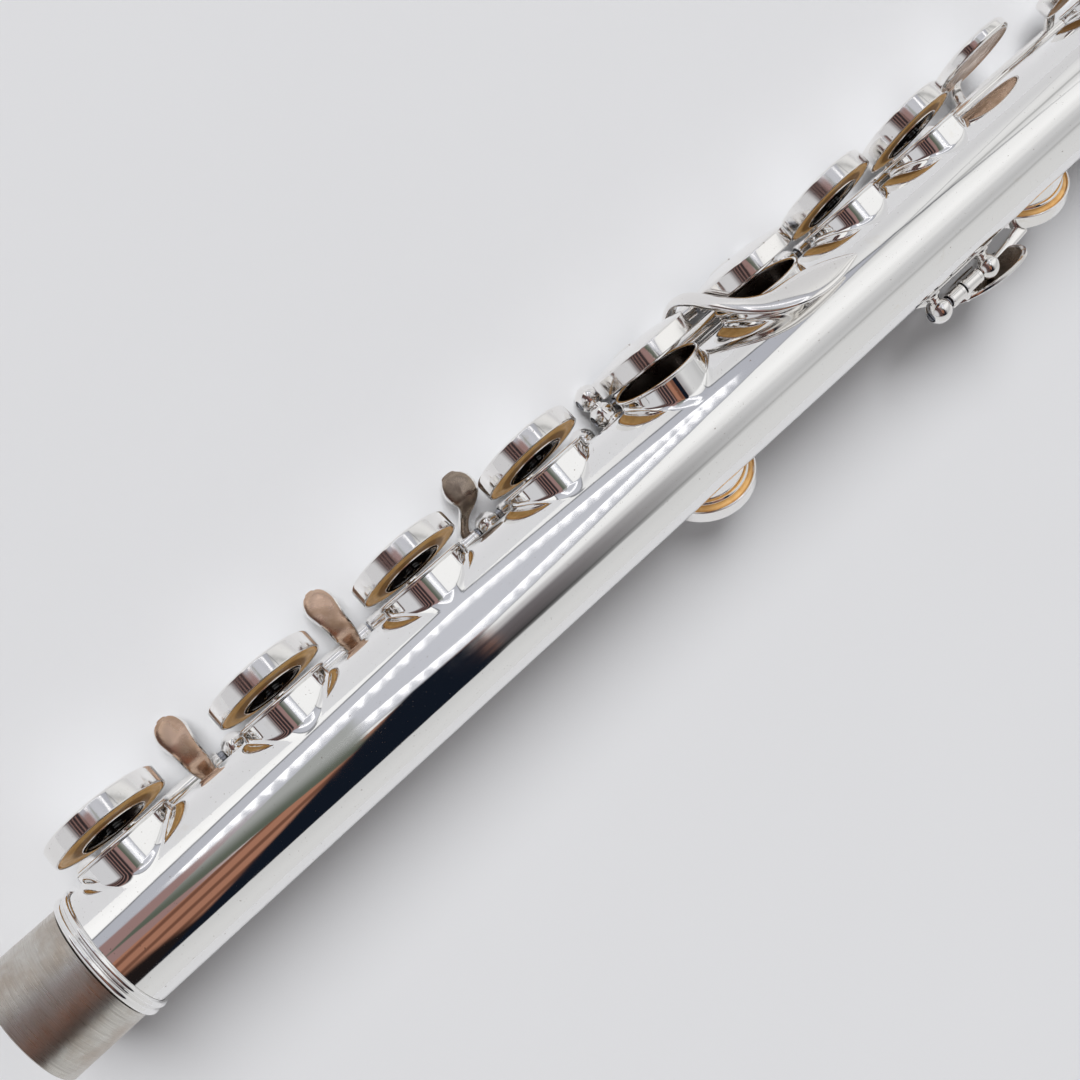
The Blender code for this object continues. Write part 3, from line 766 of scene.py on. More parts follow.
def make_tube():
    tube = Shape()
    tube_wall(tube, TUBE_R, True, 0)
    tube_wall(tube, BORE_R, False, 1)
    for x, angle, radius, _ in HOLES.values():
        chimney(tube, x, angle, radius)
    for x in TUBE_X:
        sign = -1 if x == TUBE_X[0] else 1
        ring = np.empty((2, TUBE_TURNS, 3))
        turns = np.linspace(0, 2 * math.pi, TUBE_TURNS, endpoint=False) * sign
        for row, radius in enumerate((TUBE_R, BORE_R)):
            ring[row, :, 0] = x
            ring[row, :, 1] = radius * np.cos(turns)
            ring[row, :, 2] = radius * np.sin(turns)
        tube.grid(ring, False, True, 0)
    show(tube, "tube_drawn", [TUBE_SILVER, BORE], "flute_body", ["body_tube"])

    tenon = Shape()
    length = TENON_X[1] - TENON_X[0]
    corners = [
        (BORE_R, length),
        (TENON_R, length),
        (TENON_R, 0.25),
        (TENON_R - 0.12, 0.06),
        (BORE_R + 0.1, 0.0),
        (BORE_R, 0.15),
    ]
    lathe(tenon, corners, along_x(TENON_X[0]), TUBE_TURNS, closed=True, slots=bore_side(BORE_R))
    show(tenon, "tenon_worn", [TENON, BORE], "flute_body", ["foot_tenon"])

    ring = Shape()
    corners = [(TUBE_R + 0.06, -1.24), (TUBE_R + 0.06, 1.24)]
    for middle, bead in ((0.72, 0.50), (-0.62, 0.60)):
        corners += beads([middle], RING_R - bead, bead, 80, 11)
    lathe(ring, corners, along_x(RING_X), TUBE_TURNS, closed=True)
    show(ring, "ring_beads", [TUBE_SILVER], "flute_body", ["tenon_ring"])

    barrel = Shape()
    length = BARREL_X[1] - BARREL_X[0]
    corners = [(SOCKET_R, length), (BARREL_R + 0.3, length)]
    corners += beads((length - 0.9, length - 2.2), BARREL_R + 0.1, 0.6, 70, 8)
    corners += [(BARREL_R, length - 3.4), (BARREL_R - 0.12, length / 2), (BARREL_R, 3.4)]
    corners += beads((2.2, 0.9), BARREL_R + 0.1, 0.5, 70, 8)
    corners += [(BARREL_R + 0.2, 0.0), (SOCKET_R, 0.0)]
    lathe(barrel, corners, along_x(BARREL_X[0]), TUBE_TURNS, closed=True, slots=bore_side(SOCKET_R))
    show(barrel, "barrel_ringed", [TUBE_SILVER, BORE], "flute_body", ["head_barrel"])


# ---------------------------------------------------------------- cups and pads


def seat(hole, line):
    """Where the closed cup of a tone hole sits, in the frame of a key hinged on this line."""
    x, angle, _, _ = HOLES[hole]
    return Matrix.Translation((0, -line[0], -line[1])) @ standing(x, angle, RIM_H + SEAL_GAP)


def cup(shape, cup_r, place):
    """A key cup: upright wall with a soft edge, a shallow step and a low dome on top."""
    corners = [
        (0, CUP_H + CUP_DOME),
        (cup_r * 0.30, CUP_H + CUP_DOME * 0.94, 0.8),
        (cup_r * 0.62, CUP_H + CUP_DOME * 0.62, 0.8),
        (cup_r - 0.75, CUP_H + 0.06, 0.3),
        (cup_r - 0.03, CUP_H - 0.12, 0.35),
        (cup_r, CUP_H * 0.5),
        (cup_r - 0.02, 0.12, 0.12),
        (cup_r - 0.32, 0.02, 0.12),
        (cup_r - 0.45, 0.3),
        (cup_r - 0.5, CUP_H - 0.7),
        (0, CUP_H - 0.7),
    ]
    lathe(shape, corners, place, SEGMENTS)


def pad(hole, cup_r, place, body):
    """The felt pad: a rounded edge, and a face pressed in where it meets the rim of the tone hole."""
    rim = cup_r - PAD_INSET
    seal = cup_r - CUP_OVERHANG
    centre = 1.1 if hole not in SMALL_HOLES else 0.0
    corners = [
        (centre, PAD_T),
        (rim, PAD_T),
        (rim, 0.55, 0.2),
        (rim - 0.05, 0.12, 0.3),
        (seal + 0.45, 0.02, 0.1),
        (seal + 0.2, 0.12, 0.1),
        (seal - 0.35, 0.14, 0.1),
        (seal - 0.7, 0.03, 0.2),
        (max(WASHER_R + 0.3, seal * 0.75) if centre else seal * 0.5, 0.0, 0.3),
        (centre, 0.06),
    ]
    made = Shape()
    lathe(made, corners, place, SEGMENTS, closed=bool(centre))
    show(made, hole + "_pad_skin", [PAD], body, [hole + "_pad"])


def washer(hole, place, body):
    """Pad washer with a bright edge and a slotted screw."""
    made = Shape()
    low = -0.12
    corners = [
        (0, PAD_T - 0.1),
        (0.9, PAD_T - 0.1),
        (0.9, low),
        (WASHER_R, low, 0.05),
        (WASHER_R, low - 0.32, 0.12),
        (WASHER_R - 0.35, low - 0.42, 0.12),
        (WASHER_R - 0.75, low - 0.30, 0.15),
        (1.9, low - 0.34, 0.2),
        (1.62, low - 0.42),
        (0, low - 0.42),
    ]
    lathe(made, corners, place, SEGMENTS, slots=lambda r, z: 1 if WASHER_R - 0.45 < r and z < 0 else 0)
    flip = Matrix.Translation((0, 0, low - 0.40)) @ Matrix.Rotation(math.pi, 4, "X")
    slotted_head(made, place @ flip, 1.5, 0.38, 0.2, 0.22)
    show(made, hole + "_washer", [WASHER, KEY_SILVER], body, [hole + "_pad_washer"])


def fill(hole, line, place, body):
    """A cup's pad and, on the larger cups, its washer."""
    cup_r = HOLES[hole][3]
    sits = place @ seat(hole, line)
    pad(hole, cup_r, sits, body)
    if hole not in SMALL_HOLES:
        washer(hole, sits, body)


def hinge(shape, span, place):
    """A hinge tube with a fine collar at each end."""
    tube_bar(shape, span[0], span[1], HINGE_R - 0.06, (0, 0), place, HINGE_BORE)
    for x in (span[0] + 0.05, span[1] - 0.95):
        tube_bar(shape, x, x + 0.9, HINGE_R, (0, 0), place, HINGE_BORE, 0.2)


def arm(shape, line, place, route, **style):
    """A bar through points of the closed key: (x, y, z, half width, half thickness) and a width direction,
    which is along X where it isn't given."""
    stations = []
    for x, y, z, wide, thick, *along in route:
        stations.append((x, y - line[0], z - line[1], wide, thick, *(along or (1, 0, 0))))
    sweep(shape, stations, place, **style)


def cup_arm(shape, hole, line, place, clear):
    """The arm of a key: up from its hinge, over the cup's edge and out to a point at the cup's middle."""
    height = RIM_H + CUP_H
    x, angle, _, cup_r = HOLES[hole]
    out = radial(angle)
    side = Vector((0.0, -out.z, out.y))
    route = [
        (Vector((0, *line)) + out * 0.4, 1.3, 0.8),
        (out * (height - CUP_H * 0.55) - side * (cup_r + clear + 0.1), 1.15, 0.64),
        (out * (height - 0.2) - side * (cup_r + clear - 0.55), 1.2, 0.56),
        (out * (height + 0.45) - side * (cup_r - 1.4), 1.3, 0.48),
        (out * (height + 0.75) - side * (cup_r * 0.55), 1.1, 0.4),
        (out * (height + CUP_DOME + 0.15) - side * (cup_r * 0.12), 0.24, 0.24),
    ]
    arm(shape, line, place, [(x, point.y, point.z, wide, thick) for point, wide, thick in route])


def side_arm(shape, hole, line, place, height, reach, sizes):
    """The straight arm of a key at the back, from its hinge to its cup's wall."""
    x, angle, _, _ = HOLES[hole]
    out = radial(angle)
    near = out * height + Vector((0, -out.z, out.y)) * reach
    half_way = ((near.y + line[0]) / 2, (near.z + line[1]) / 2)
    points = (line, half_way, (near.y, near.z))
    arm(shape, line, place, [(x, *point, *size) for point, size in zip(points, sizes)])


def main_key(name, span, holes=None, line=MAIN_ROD, clear=0.5):
    """A key with its hinge tube and its cups, and the pads and washers that ride on it."""
    made = Shape()
    place = hinge_place(line, OPEN)
    body = name + "_key_body"
    hinge(made, span, place)
    for hole in holes or [name]:
        cup(made, HOLES[hole][3], place @ seat(hole, line))
        cup_arm(made, hole, line, place, clear)
        fill(hole, line, place, body)
    return made, place, body


def make_main_keys():
    spans = {
        "d": (-5.4, 16.6),
        "e": (22.4, 46.8),
        "f": (47.2, 66.6),
        "f_sharp": (75.8, 91.8),
        "a": (148.0, 161.6),
        "a_sharp": (162.0, 181.0),
    }
    for name, span in spans.items():
        made, _, body = main_key(name, span)
        show(made, name + "_key_cup", KEY_SET, body, [name + "_key"])
    made, _, body = main_key("g", (102.8, 137.2), ["g_lower", "g_upper"], OFFSET_ROD, 0.3)
    show(made, "g_key_cups", KEY_SET, body, ["g_key"])

    made, place, body = main_key("c_sharp", (188.0, 226.0))
    route = [
        (TOUCH_DISC_X, *MAIN_ROD, 1.2, 0.8),
        (TOUCH_DISC_X, 14.2, -8.2, 1.3, 0.7),
        (TOUCH_DISC_X, 15.2, -5.2, 1.6, 0.6),
        (TOUCH_DISC_X, 15.4, -2.0, 1.4, 0.5),
    ]
    arm(made, MAIN_ROD, place, route)
    disc = standing(TOUCH_DISC_X, MAIN_ANGLE, 15.0)
    here = place @ Matrix.Translation((0, -MAIN_ROD[0], -MAIN_ROD[1])) @ disc
    corners = [
        (0, 0.9),
        (5.0, 1.05, 1.0),
        (7.3, 1.35, 0.4),
        (8.0, 0.9, 0.4),
        (8.0, -0.7, 0.3),
        (7.4, -1.1, 0.3),
        (6.9, -0.8, 0.3),
        (0, -0.65),
    ]
    lathe(made, corners, here, SEGMENTS, slots=lambda r, z: 1 if z < -0.55 and r < 7.2 else 0)
    show(made, "c_sharp_key_cup", KEY_SET, body, ["c_sharp_key"])


# ---------------------------------------------------------------- levers and touches


def touch(shape, line, place, route, face_slot):
    """A finger touch and its neck, tarnished on the side to the tube."""
    arm(shape, line, place, route, steps=8, around=40, power=2.8, face_slot=face_slot, faces=-1)


def trill_touch(x):
    return [
        (x, 7.6, -11.3, 1.0, 0.9),
        (x, 8.5, -9.1, 1.15, 0.65),
        (x, 10.4, -7.1, 1.5, 0.55),
        (x, 12.1, -5.6, 1.85, 0.55),
        (x, 13.2, -4.9, 1.95, 0.5),
        (x, 15.0, -4.55, 2.05, 0.5),
        (x, 16.8, -4.75, 2.4, 0.65),
        (x, 18.4, -5.2, 2.65, 0.75),
        (x, 19.8, -5.65, 2.35, 0.8),
        (x, 20.7, -5.95, 1.65, 0.7),
        (x, 21.1, -6.1, 0.9, 0.4),
    ]


def make_trill_keys():
    for name, span, x in (("d_trill", (38.6, 244.6), 43.2), ("d_sharp_trill", (10.6, 17.6), 14.0)):
        made = Shape()
        place = hinge_place(TRILL_ROD, 0)
        body = name + "_key_body"
        touch(made, TRILL_ROD, place, trill_touch(x), 1)
        cup_r = HOLES[name][3]
        cup(made, cup_r, place @ seat(name, TRILL_ROD))
        sizes = ((1.1, 0.8), (1.0, 0.8), (1.2, 0.7))
        side_arm(made, name, TRILL_ROD, place, RIM_H + 2.2, cup_r - 0.1, sizes)
        if name == "d_trill":
            hinge(made, span, place)
        else:
            tube_bar(made, 5.0, 261.0, STEEL_R, (0, 0), place)
            tube_bar(made, *span, HINGE_R, (0, 0), place)
            tube_bar(made, 250.0, 255.0, HINGE_R, (0, 0), place)
        fill(name, TRILL_ROD, place, body)
        show(made, name + "_key_lever", KEY_SET, body, [name + "_key"])


def make_side_lever():
    made = Shape()
    place = hinge_place(MAIN_ROD, 0)
    hinge(made, (67.0, 70.2), place)
    route = [
        (68.6, 11.4, -9.6, 1.1, 0.9),
        (68.9, 12.9, -8.9, 0.9, 0.75),
        (70.1, 14.4, -7.7, 0.9, 0.6),
        (71.4, 15.5, -6.2, 1.6, 0.6),
        (72.0, 16.7, -5.4, 2.55, 0.75),
        (72.3, 18.3, -5.3, 2.85, 0.8),
        (72.3, 19.8, -5.6, 2.45, 0.8),
        (72.3, 20.9, -5.9, 1.5, 0.6),
    ]
    touch(made, MAIN_ROD, place, route, 2)
    show(made, "b_flat_side_touch", KEY_SET, "b_flat_lever_body", ["b_flat_lever"])


def make_g_sharp():
    made = Shape()
    place = hinge_place(LEVER_ROD, 0)
    hinge(made, (114.4, 124.6), place)
    across = Vector((0, radial(68.0).z, -radial(68.0).y))
    route = [
        (119.2, 16.0, -7.0, 1.3, 0.9, 1, 0, 0),
        (119.2, 17.4, -4.0, 1.25, 0.8, 1, 0, 0),
        (119.2, 17.8, 0.8, 1.25, 0.75, 1, 0, 0),
        (119.5, 16.4, 4.8, 1.3, 0.75, 1, 0.1, 0.1),
        (120.6, 13.0, 8.4, 1.35, 0.72, 0.9, 0.4, -0.2),
        (122.8, 9.4, 10.9, 1.5, 0.68, 0.6, 0.8, -0.35),
        (126.2, 6.8, 12.3, 2.0, 0.62, 0.25, across.y, across.z),
        (130.2, 5.5, 12.95, 2.65, 0.60, 0.1, across.y, across.z),
        (134.0, 4.75, 13.1, 2.70, 0.60, 0.05, across.y, across.z),
        (137.6, 4.2, 13.15, 2.05, 0.58, 0.05, across.y, across.z),
        (140.6, 3.8, 13.1, 1.05, 0.52, 0.05, across.y, across.z),
        (142.0, 3.6, 13.05, 0.45, 0.40, 0.05, across.y, across.z),
    ]
    arm(made, LEVER_ROD, place, route, steps=8, around=48, power=2.6)
    show(made, "g_sharp_leaf", KEY_SET, "g_sharp_lever_body", ["g_sharp_lever"])

    made = Shape()
    place = hinge_place(BACK_ROD, 0)
    hinge(made, (97.5, 121.0), place)
    side_arm(made, "g_sharp", BACK_ROD, place, RIM_H + 2.4, 9.6, ((1.3, 0.9), (1.2, 0.85), (1.5, 0.75)))
    cup(made, HOLES["g_sharp"][3], place @ seat("g_sharp", BACK_ROD))
    fill("g_sharp", BACK_ROD, place, "g_sharp_key_body")
    show(made, "g_sharp_key_cup", KEY_SET, "g_sharp_key_body", ["g_sharp_key"])


def flat_touch(shape, line, place, centre, size, tilt, spin, lean, slot):
    """A crowned plate for a thumb, with its underside to the tube."""
    here = Matrix.Translation((centre[0], centre[1] - line[0], centre[2] - line[1]))
    turn = standing(0, tilt, 0) @ Matrix.Rotation(math.radians(spin), 4, "Z")
    half = size[2] / 2
    corners = [
        (0, half),
        (0.7, half * 0.85, 0.2),
        (0.93, half * 0.7, 0.05),
        (1.0, half * 0.1, 0.04),
        (0.98, -half * 0.8, 0.04),
        (0.9, -half, 0.03),
        (0, -half * 0.7),
    ]
    lathe(
        shape,
        corners,
        place @ here @ turn,
        SEGMENTS,
        slots=lambda r, z: slot if z < -half * 0.6 and r < 0.88 else 0,
        scale=(size[0], size[1]),
        lean=lean,
    )


def make_thumb_keys():
    made = Shape()
    line = THUMB_ROD
    place = hinge_place(line, 0)
    hinge(made, (165.0, 169.2), place)
    back = radial(BACK_ANGLE)
    side = Vector((0, -back.z, back.y))
    edge = back * (RIM_H + CUP_H + 0.4) - side * 6.0
    route = [
        (167.4, *line, 1.2, 0.9, 1, 0, 0),
        (167.5, -14.3, -7.6, 1.2, 0.85, 1, 0, 0),
        (168.6, -14.6, -9.2, 1.1, 0.8, 1, 0.3, 0.3),
        (174.5, -14.2, -9.9, 1.0, 0.8, 0.3, 1, 0),
        (180.5, -13.4, -10.2, 1.0, 0.8, 0.2, 1, 0),
        (186.0, edge.y, edge.z, 1.3, 0.7, 0.2, 1, 0),
    ]
    arm(made, line, place, route)
    route = [
        (166.0, *line, 1.0, 0.8, 1, 0, 0),
        (166.2, -14.6, -6.8, 1.1, 0.6, 1, 0, 0),
        (167.0, -15.2, -7.8, 1.4, 0.5, 1, 0, 0),
    ]
    arm(made, line, place, route)
    flat_touch(made, line, place, (172.5, -14.4, -9.0), (9.5, 4.4, 1.1), -145.0, 8.0, 0.12, 2)
    cup(made, HOLES["thumb"][3], place @ seat("thumb", line))
    fill("thumb", line, place, "thumb_b_key_body")
    show(made, "thumb_key_cup", KEY_SET, "thumb_b_key_body", ["thumb_b_key"])

    made = Shape()
    hinge(made, (161.2, 164.6), place)
    route = [
        (162.8, *line, 1.1, 0.8, 1, 0, 0),
        (162.6, -11.9, -9.6, 1.0, 0.8, 1, 0, 0),
        (160.6, -10.0, -12.0, 1.0, 0.75, 1, 0, 0),
        (157.4, -8.0, -13.4, 1.2, 0.6, 0.2, 1, 0),
    ]
    arm(made, line, place, route)
    flat_touch(made, line, place, (152.5, -6.6, -13.6), (7.0, 3.6, 1.1), -116.0, 0.0, 0.1, 2)
    show(made, "b_flat_thumb_touch", KEY_SET, "thumb_b_flat_lever_body", ["thumb_b_flat_lever"])


# ---------------------------------------------------------------- posts, ribs and steels


def rib(name, x0, x1, angle, width, posts, holes=()):
    """A rib that follows the tube, notched round the tone holes, with its turned posts."""
    made = Shape()
    half = math.degrees(width / 2 / TUBE_R)
    xs = np.linspace(x0, x1, max(24, int((x1 - x0) * 2.5)))
    end = np.minimum(xs - x0, x1 - xs)
    squeeze = np.sqrt(np.clip(1 - (1 - np.clip(end / (width / 2), 0, 1)) ** 2, 0.0, 1))
    far = angle - half * squeeze
    near = angle + half * squeeze
    for hole in holes:
        hole_x, hole_angle, radius, _ = HOLES[hole]
        room = radius + 0.6
        inside = np.clip(room**2 - (xs - hole_x) ** 2, 0, None)
        edge = hole_angle - np.degrees(np.arcsin(np.clip(np.sqrt(inside) / TUBE_R, 0, 1)))
        near = np.where(inside > 0, np.minimum(near, edge), near)
    near = np.maximum(near, far + 0.4)
    floor = TUBE_R + 0.02
    top = RIB_FLOOR + RIB_T - 0.1
    steps = np.linspace(0, 1, 9)
    ring = [(0.0, floor), (0.0, top - 0.25), (0.04, top - 0.06)]
    ring += [(0.08 + 0.84 * t, top) for t in steps]
    ring += [(0.96, top - 0.06), (1.0, top - 0.25), (1.0, floor)]
    points = np.empty((len(xs), len(ring), 3))
    for column, (share, height) in enumerate(ring):
        turn = np.radians(far + (near - far) * share)
        points[:, column, 0] = xs
        points[:, column, 1] = height * np.cos(turn)
        points[:, column, 2] = height * np.sin(turn)
    made.grid(points[:, ::-1], False, True)
    for x, line in posts:
        post(made, x, line)
    show(made, name + "_posts", [KEY_SILVER, STEEL], "flute_body", [name])


def post(shape, x, line):
    """A turned post: a foot, a waisted stem and a bored ball."""
    reach = math.hypot(*line)
    aim = math.degrees(math.atan2(line[1], line[0]))
    stem = [
        (0, reach),
        (1.0, reach - 1.0),
        (0.95, reach - 2.0),
        (1.0, RIB_FLOOR + 2.2, 0.5),
        (1.25, RIB_FLOOR + 1.5, 0.3),
        (1.8, RIB_FLOOR + 0.95, 0.2),
        (1.8, RIB_FLOOR + 0.4),
        (0, RIB_FLOOR + 0.4),
    ]
    lathe(shape, stem, standing(x, aim, 0), 40)
    turns = np.linspace(0.44, math.pi - 0.44, 21)
    ball = [(HINGE_BORE, 1.0)]
    ball += [(POST_BALL_R * math.sin(turn), POST_BALL_R * math.cos(turn)) for turn in turns]
    ball += [(HINGE_BORE, -1.0)]
    lathe(shape, ball, along_x(x, line), 48, closed=True)


def make_ribs():
    main = ("d", "e", "f", "f_sharp")
    low = [(x, MAIN_ROD) for x in (-8.0, 19.5, 72.9, 94.6)]
    low += [(x, TRILL_ROD) for x in (7.8, 35.5)]
    rib("lower_rib", -9.6, 96.8, -50.0, 5.0, low, main)
    high = [(x, MAIN_ROD) for x in (145.2, 184.4, 229.0)]
    rib("upper_rib", 143.2, 232.0, -45.0, 5.0, high, ("a", "a_sharp", "c_sharp"))
    offset = [(99.8, OFFSET_ROD), (140.2, OFFSET_ROD), (99.8, LEVER_ROD), (140.2, LEVER_ROD)]
    rib("offset_rib", 97.6, 142.4, -31.0, 4.4, offset, ("g_lower", "g_upper"))
    rib("g_sharp_foot_post", 92.2, 97.0, -74.9, 3.2, [(94.6, BACK_ROD)])
    rib("g_sharp_head_post", 121.5, 126.3, -74.9, 3.2, [(123.9, BACK_ROD)])
    rib("thumb_rib", 155.4, 174.8, -157.4, 3.6, [(158.6, THUMB_ROD), (171.6, THUMB_ROD)])
    rib("trill_rib", 243.6, 261.4, -57.3, 3.6, [(247.3, TRILL_ROD), (258.2, TRILL_ROD)])


def make_steels():
    for name in ("lower", "upper", "offset", "g_sharp", "thumb", "g_sharp_lever"):
        node = name + "_steel"
        made = Shape()
        x0, x1 = rod_span(node)
        x0 += STEEL_INSET
        x1 -= STEEL_INSET
        line = rod_line(node)
        tube_bar(made, x0, x1, STEEL_R, line)
        for end in (along_x(x1, line), along_x(x0, line) @ Matrix.Rotation(math.pi, 4, "X")):
            slotted_head(made, end, STEEL_R, 0.3, 0.18, 0.25)
        show(made, node + "_turned", [STEEL], "flute_body", [node])


def make_springs():
    for name in ("d", "e", "f", "a", "c_sharp"):
        node = name + "_spring"
        made = Shape()
        x0, x1 = rod_span(node)
        line = rod_line(node)
        length = x1 - x0
        corners = [(0, length), (0.12, length - 0.3), (0.26, length * 0.5), (0.3, 1.0), (0.3, 0.1), (0, 0)]
        lathe(made, corners, along_x(x0, line), 20)
        show(made, node + "_needle", [STEEL], "flute_body", [node])


# ---------------------------------------------------------------- light, floor and camera


def make_floor():
    """A pale table top with a faint mottle."""
    cells = np.linspace(-FLOOR_HALF, FLOOR_HALF, 25)
    points = np.zeros((len(cells), len(cells), 3))
    points[:, :, 0] = cells[:, None]
    points[:, :, 1] = -cells[None, :]
    shape = Shape()
    shape.grid(points[:, ::-1], False, False)
    mesh = bpy.data.meshes.new("table_top")
    mesh.from_pydata(shape.points, [], shape.faces)
    floor = bpy.data.objects.new("table_top", mesh)
    bpy.context.scene.collection.objects.link(floor)
    made, g = new_material("table_pale")
    cloud = g.noise(g.place_mm(), 0.012, 3.0)
    shade = g.mix(cloud, FLOOR_COLOUR, tuple(value * 0.97 for value in FLOOR_COLOUR))
    g.surface(0.0, shade, 0.55, Specular_IOR_Level=0.25)
    floor.data.materials.append(made)


def make_camera():
    data = bpy.data.cameras.new("camera")
    data.sensor_width = SENSOR
    data.lens = FOCAL
    data.clip_start = 0.01
    camera = bpy.data.objects.new("camera", data)
    bpy.context.scene.collection.objects.link(camera)
    axes = Euler([math.radians(angle) for angle in EYE_TURN]).to_matrix().to_4x4()
    camera.matrix_world = TUBE_FRAME @ Matrix.Translation(EYE * MM) @ axes
    bpy.context.scene.camera = camera


class Room:
    """The light tent's colours by direction.

    turn is the direction's angle round the tube, in degrees from the tube's +Z towards -Y. place is how far
    along the tube the direction leans, in millimetres, as its polished side shows it to the camera.
    """

    def __init__(self, g):
        self.g = g
        self.direction = g.node("ShaderNodeTexCoord").outputs["Generated"]
        across = self.part((0, -1, 0))
        up = self.part((0, 0, 1))
        length = g.math("SQRT", g.add(g.times(across, across), g.times(up, up)))
        lean = g.math("DIVIDE", self.part((1, 0, 0)), g.math("MAXIMUM", length, 0.02))
        self.turn = g.math("DEGREES", g.math("ARCTAN2", across, up))
        self.place = g.math("MULTIPLY_ADD", lean, REACH, EYE.x)
        self.fold = g.math("ABSOLUTE", g.math("SUBTRACT", self.place, FOLD_PLACE))

    def part(self, axis):
        """How much of the direction lies along one axis of the tube."""
        made = self.g.node("ShaderNodeVectorMath", operation="DOT_PRODUCT")
        self.g.feed(made.inputs[0], self.direction)
        made.inputs[1].default_value = (TURN.to_3x3() @ Vector(axis))[:]
        return made.outputs["Value"]

    def past(self, value, slope, start):
        """The angle past a sloping edge: turn - (start + slope * value)."""
        g = self.g
        return g.math("SUBTRACT", self.turn, g.math("MULTIPLY_ADD", value, slope, start))

    def wall(self, stops):
        """The tent's wall round the tube, as (angle, level, green share, blue share)."""
        share = self.g.math("MULTIPLY_ADD", self.turn, 1 / 360, 0.5)
        colours = [(level, level * green, level * blue) for _, level, green, blue in stops]
        return self.g.ramp(share, [(stop[0] / 360 + 0.5, colour) for stop, colour in zip(stops, colours)])

    def panel(self, colour):
        """The grey ceiling panel with its dark edges."""
        g = self.g
        top = self.past(self.fold, 0.40, -62.0)
        bottom = self.past(self.fold, -0.42, 18.0)
        inside = g.times(g.ease(top, -1.0, 0.6), g.ease(bottom, -0.6, 1.2, 1.0, 0.0))
        shade = g.mix(g.ease(self.fold, 0.0, 80.0), PANEL_NEAR, PANEL_FAR)
        colour = g.mix(inside, colour, shade)
        edge = g.math("MAXIMUM", g.band(top, -1.9, 0.6, 0.8), g.times(g.band(bottom, -0.4, 0.8, 0.8), 0.7))
        edge = g.times(edge, g.ease(self.place, 230.0, 160.0))
        return g.mix(g.times(edge, 0.85), colour, PANEL_EDGE)

    def lamps(self, colour):
        """Two rows of small lamps along the panel, which read as rows of bright teeth."""
        g = self.g
        tooth = g.math("PINGPONG", g.math("DIVIDE", self.place, LAMP_PITCH), 0.5)
        rows = ((0.41, -47.0, 0.0), (-0.40, 1.0, 34.0))
        for slope, start, first in rows:
            down = self.past(self.fold, slope, start)
            depth = g.math("MULTIPLY_ADD", tooth, 36.0, -3.0)
            below = g.ease(g.math("SUBTRACT", down, depth), -1.2, 0.4, 1.0, 0.0)
            lamp = g.times(g.ease(down, -0.8, 0.6), below)
            lamp = g.times(lamp, g.times(g.ease(self.place, 0.0, 5.0), g.ease(self.place, 117.0, 113.0)))
            if first:
                lamp = g.times(lamp, g.ease(self.place, first, first + 3.0))
            colour = g.mix(lamp, colour, LAMP)
        return colour

    def low_side(self, colour):
        """What stands low beside the foot end: warm stripes, mauve and olive patches, a dark opening."""
        g, turn, place = self.g, self.turn, self.place
        low = g.times(g.band(turn, 14.0, 68.0, 1.0), g.ease(place, 60.0, 56.0))
        slanted = g.math("SINE", g.math("MULTIPLY_ADD", place, 0.10, g.times(turn, 0.42)))
        warm = g.mix(g.ease(slanted, -0.2, 1.0), WARM, WARM_DARK)
        shade_edge = g.add(turn, g.ease(place, 6.0, -12.0, 0.0, 15.0))
        warm = g.mix(g.ease(shade_edge, 50.0, 61.0), warm, BROWN_BLACK)
        mauve = g.times(g.band(turn, -19.0, 16.0, 2.0), g.ease(place, 22.0, 2.0))
        colour = g.mix(mauve, colour, MAUVE)
        colour = g.mix(low, colour, warm)
        rise = self.past(place, 0.55, 6.0)
        patch = g.times(g.ease(self.past(place, -0.45, -6.0), -1.0, 1.0), g.ease(rise, 1.0, -1.0))
        patch = g.times(patch, g.ease(place, 36.0, 34.0))
        colour = g.mix(patch, colour, g.mix(g.ease(rise, -26.0, -3.0), OLIVE_PALE, OLIVE_DARK))
        dark = g.ease(self.past(place, -1.1, 58.0), -3.0, 3.0)
        dark = g.times(dark, g.ease(self.past(place, 0.3, -3.0), -1.0, 3.0))
        dark = g.times(dark, g.times(g.ease(place, 59.0, 55.5), g.ease(turn, 69.5, 67.5)))
        return g.mix(dark, colour, NAVY)

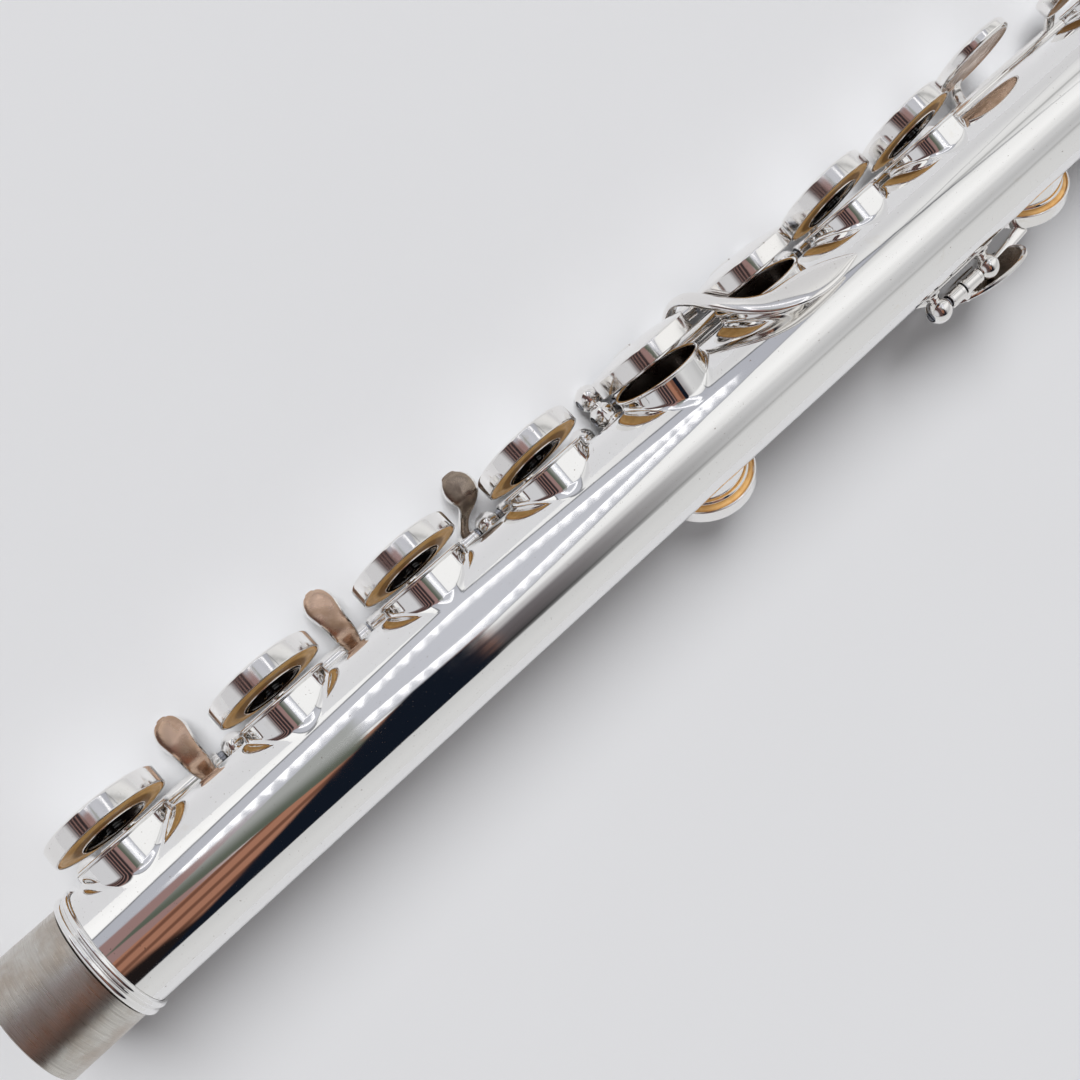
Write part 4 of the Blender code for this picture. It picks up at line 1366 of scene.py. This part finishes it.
    def front(self, colour):
        """The tent's open front, with brown bars in the murk."""
        g, turn, place = self.g, self.turn, self.place
        bars = g.math("SINE", g.math("MULTIPLY_ADD", place, 0.21, g.times(turn, 0.16)))
        murk = g.mix(g.ease(bars, 0.1, 0.9), MURK, BAR)
        murk = g.mix(g.ease(place, -120.0, -230.0), murk, FRONT_WALL)
        opening = g.times(g.ease(place, -24.0, -40.0), g.band(turn, -78.0, 66.0, 4.0))
        return g.mix(opening, colour, murk)


def make_world():
    """A soft light tent: white walls, a grey ceiling panel edged with small lamps, and a dark opening."""
    world = bpy.data.worlds.new("light_tent")
    bpy.context.scene.world = world
    world.use_nodes = True
    g = Graph(world.node_tree)
    room = Room(g)
    head, foot = room.wall(HEAD_WALL), room.wall(FOOT_WALL)
    colour = g.mix(g.ease(room.place, 58.0, 125.0), foot, head)
    for layer in (room.panel, room.lamps, room.low_side, room.front):
        colour = layer(colour)

    rays = g.node("ShaderNodeLightPath").outputs
    glow = g.node("ShaderNodeBackground")
    g.feed(glow.inputs["Color"], colour)
    g.feed(glow.inputs["Strength"], g.math("MULTIPLY_ADD", rays["Is Diffuse Ray"], -0.5, 1.0))
    plain = g.node("ShaderNodeBackground")
    g.tint(plain.inputs["Color"], BACKDROP)
    pick = g.node("ShaderNodeMixShader")
    g.feed(pick.inputs[0], rays["Is Camera Ray"])
    g.feed(pick.inputs[1], glow.outputs[0])
    g.feed(pick.inputs[2], plain.outputs[0])
    output = g.node("ShaderNodeOutputWorld")
    g.feed(output.inputs["Surface"], pick.outputs[0])


def make_light():
    """One wide soft light from the upper left, for a soft shadow on the lower right."""
    data = bpy.data.lights.new("soft_lamp", "SUN")
    data.angle = math.radians(32.0)
    data.energy = 2.75
    lamp = bpy.data.objects.new("soft_lamp", data)
    bpy.context.scene.collection.objects.link(lamp)
    lamp.location = ORIGIN + Vector((0.1, 1.25, 1.25))
    lamp.rotation_euler = (ORIGIN + Vector((0.1, 0, 0)) - lamp.location).to_track_quat("-Z", "Y").to_euler()
    lamp.visible_glossy = False


bpy.context.scene.view_settings.view_transform = "Standard"
make_camera()
make_floor()
make_world()
make_light()
make_tube()
make_main_keys()
make_trill_keys()
make_side_lever()
make_g_sharp()
make_thumb_keys()
make_ribs()
make_steels()
make_springs()
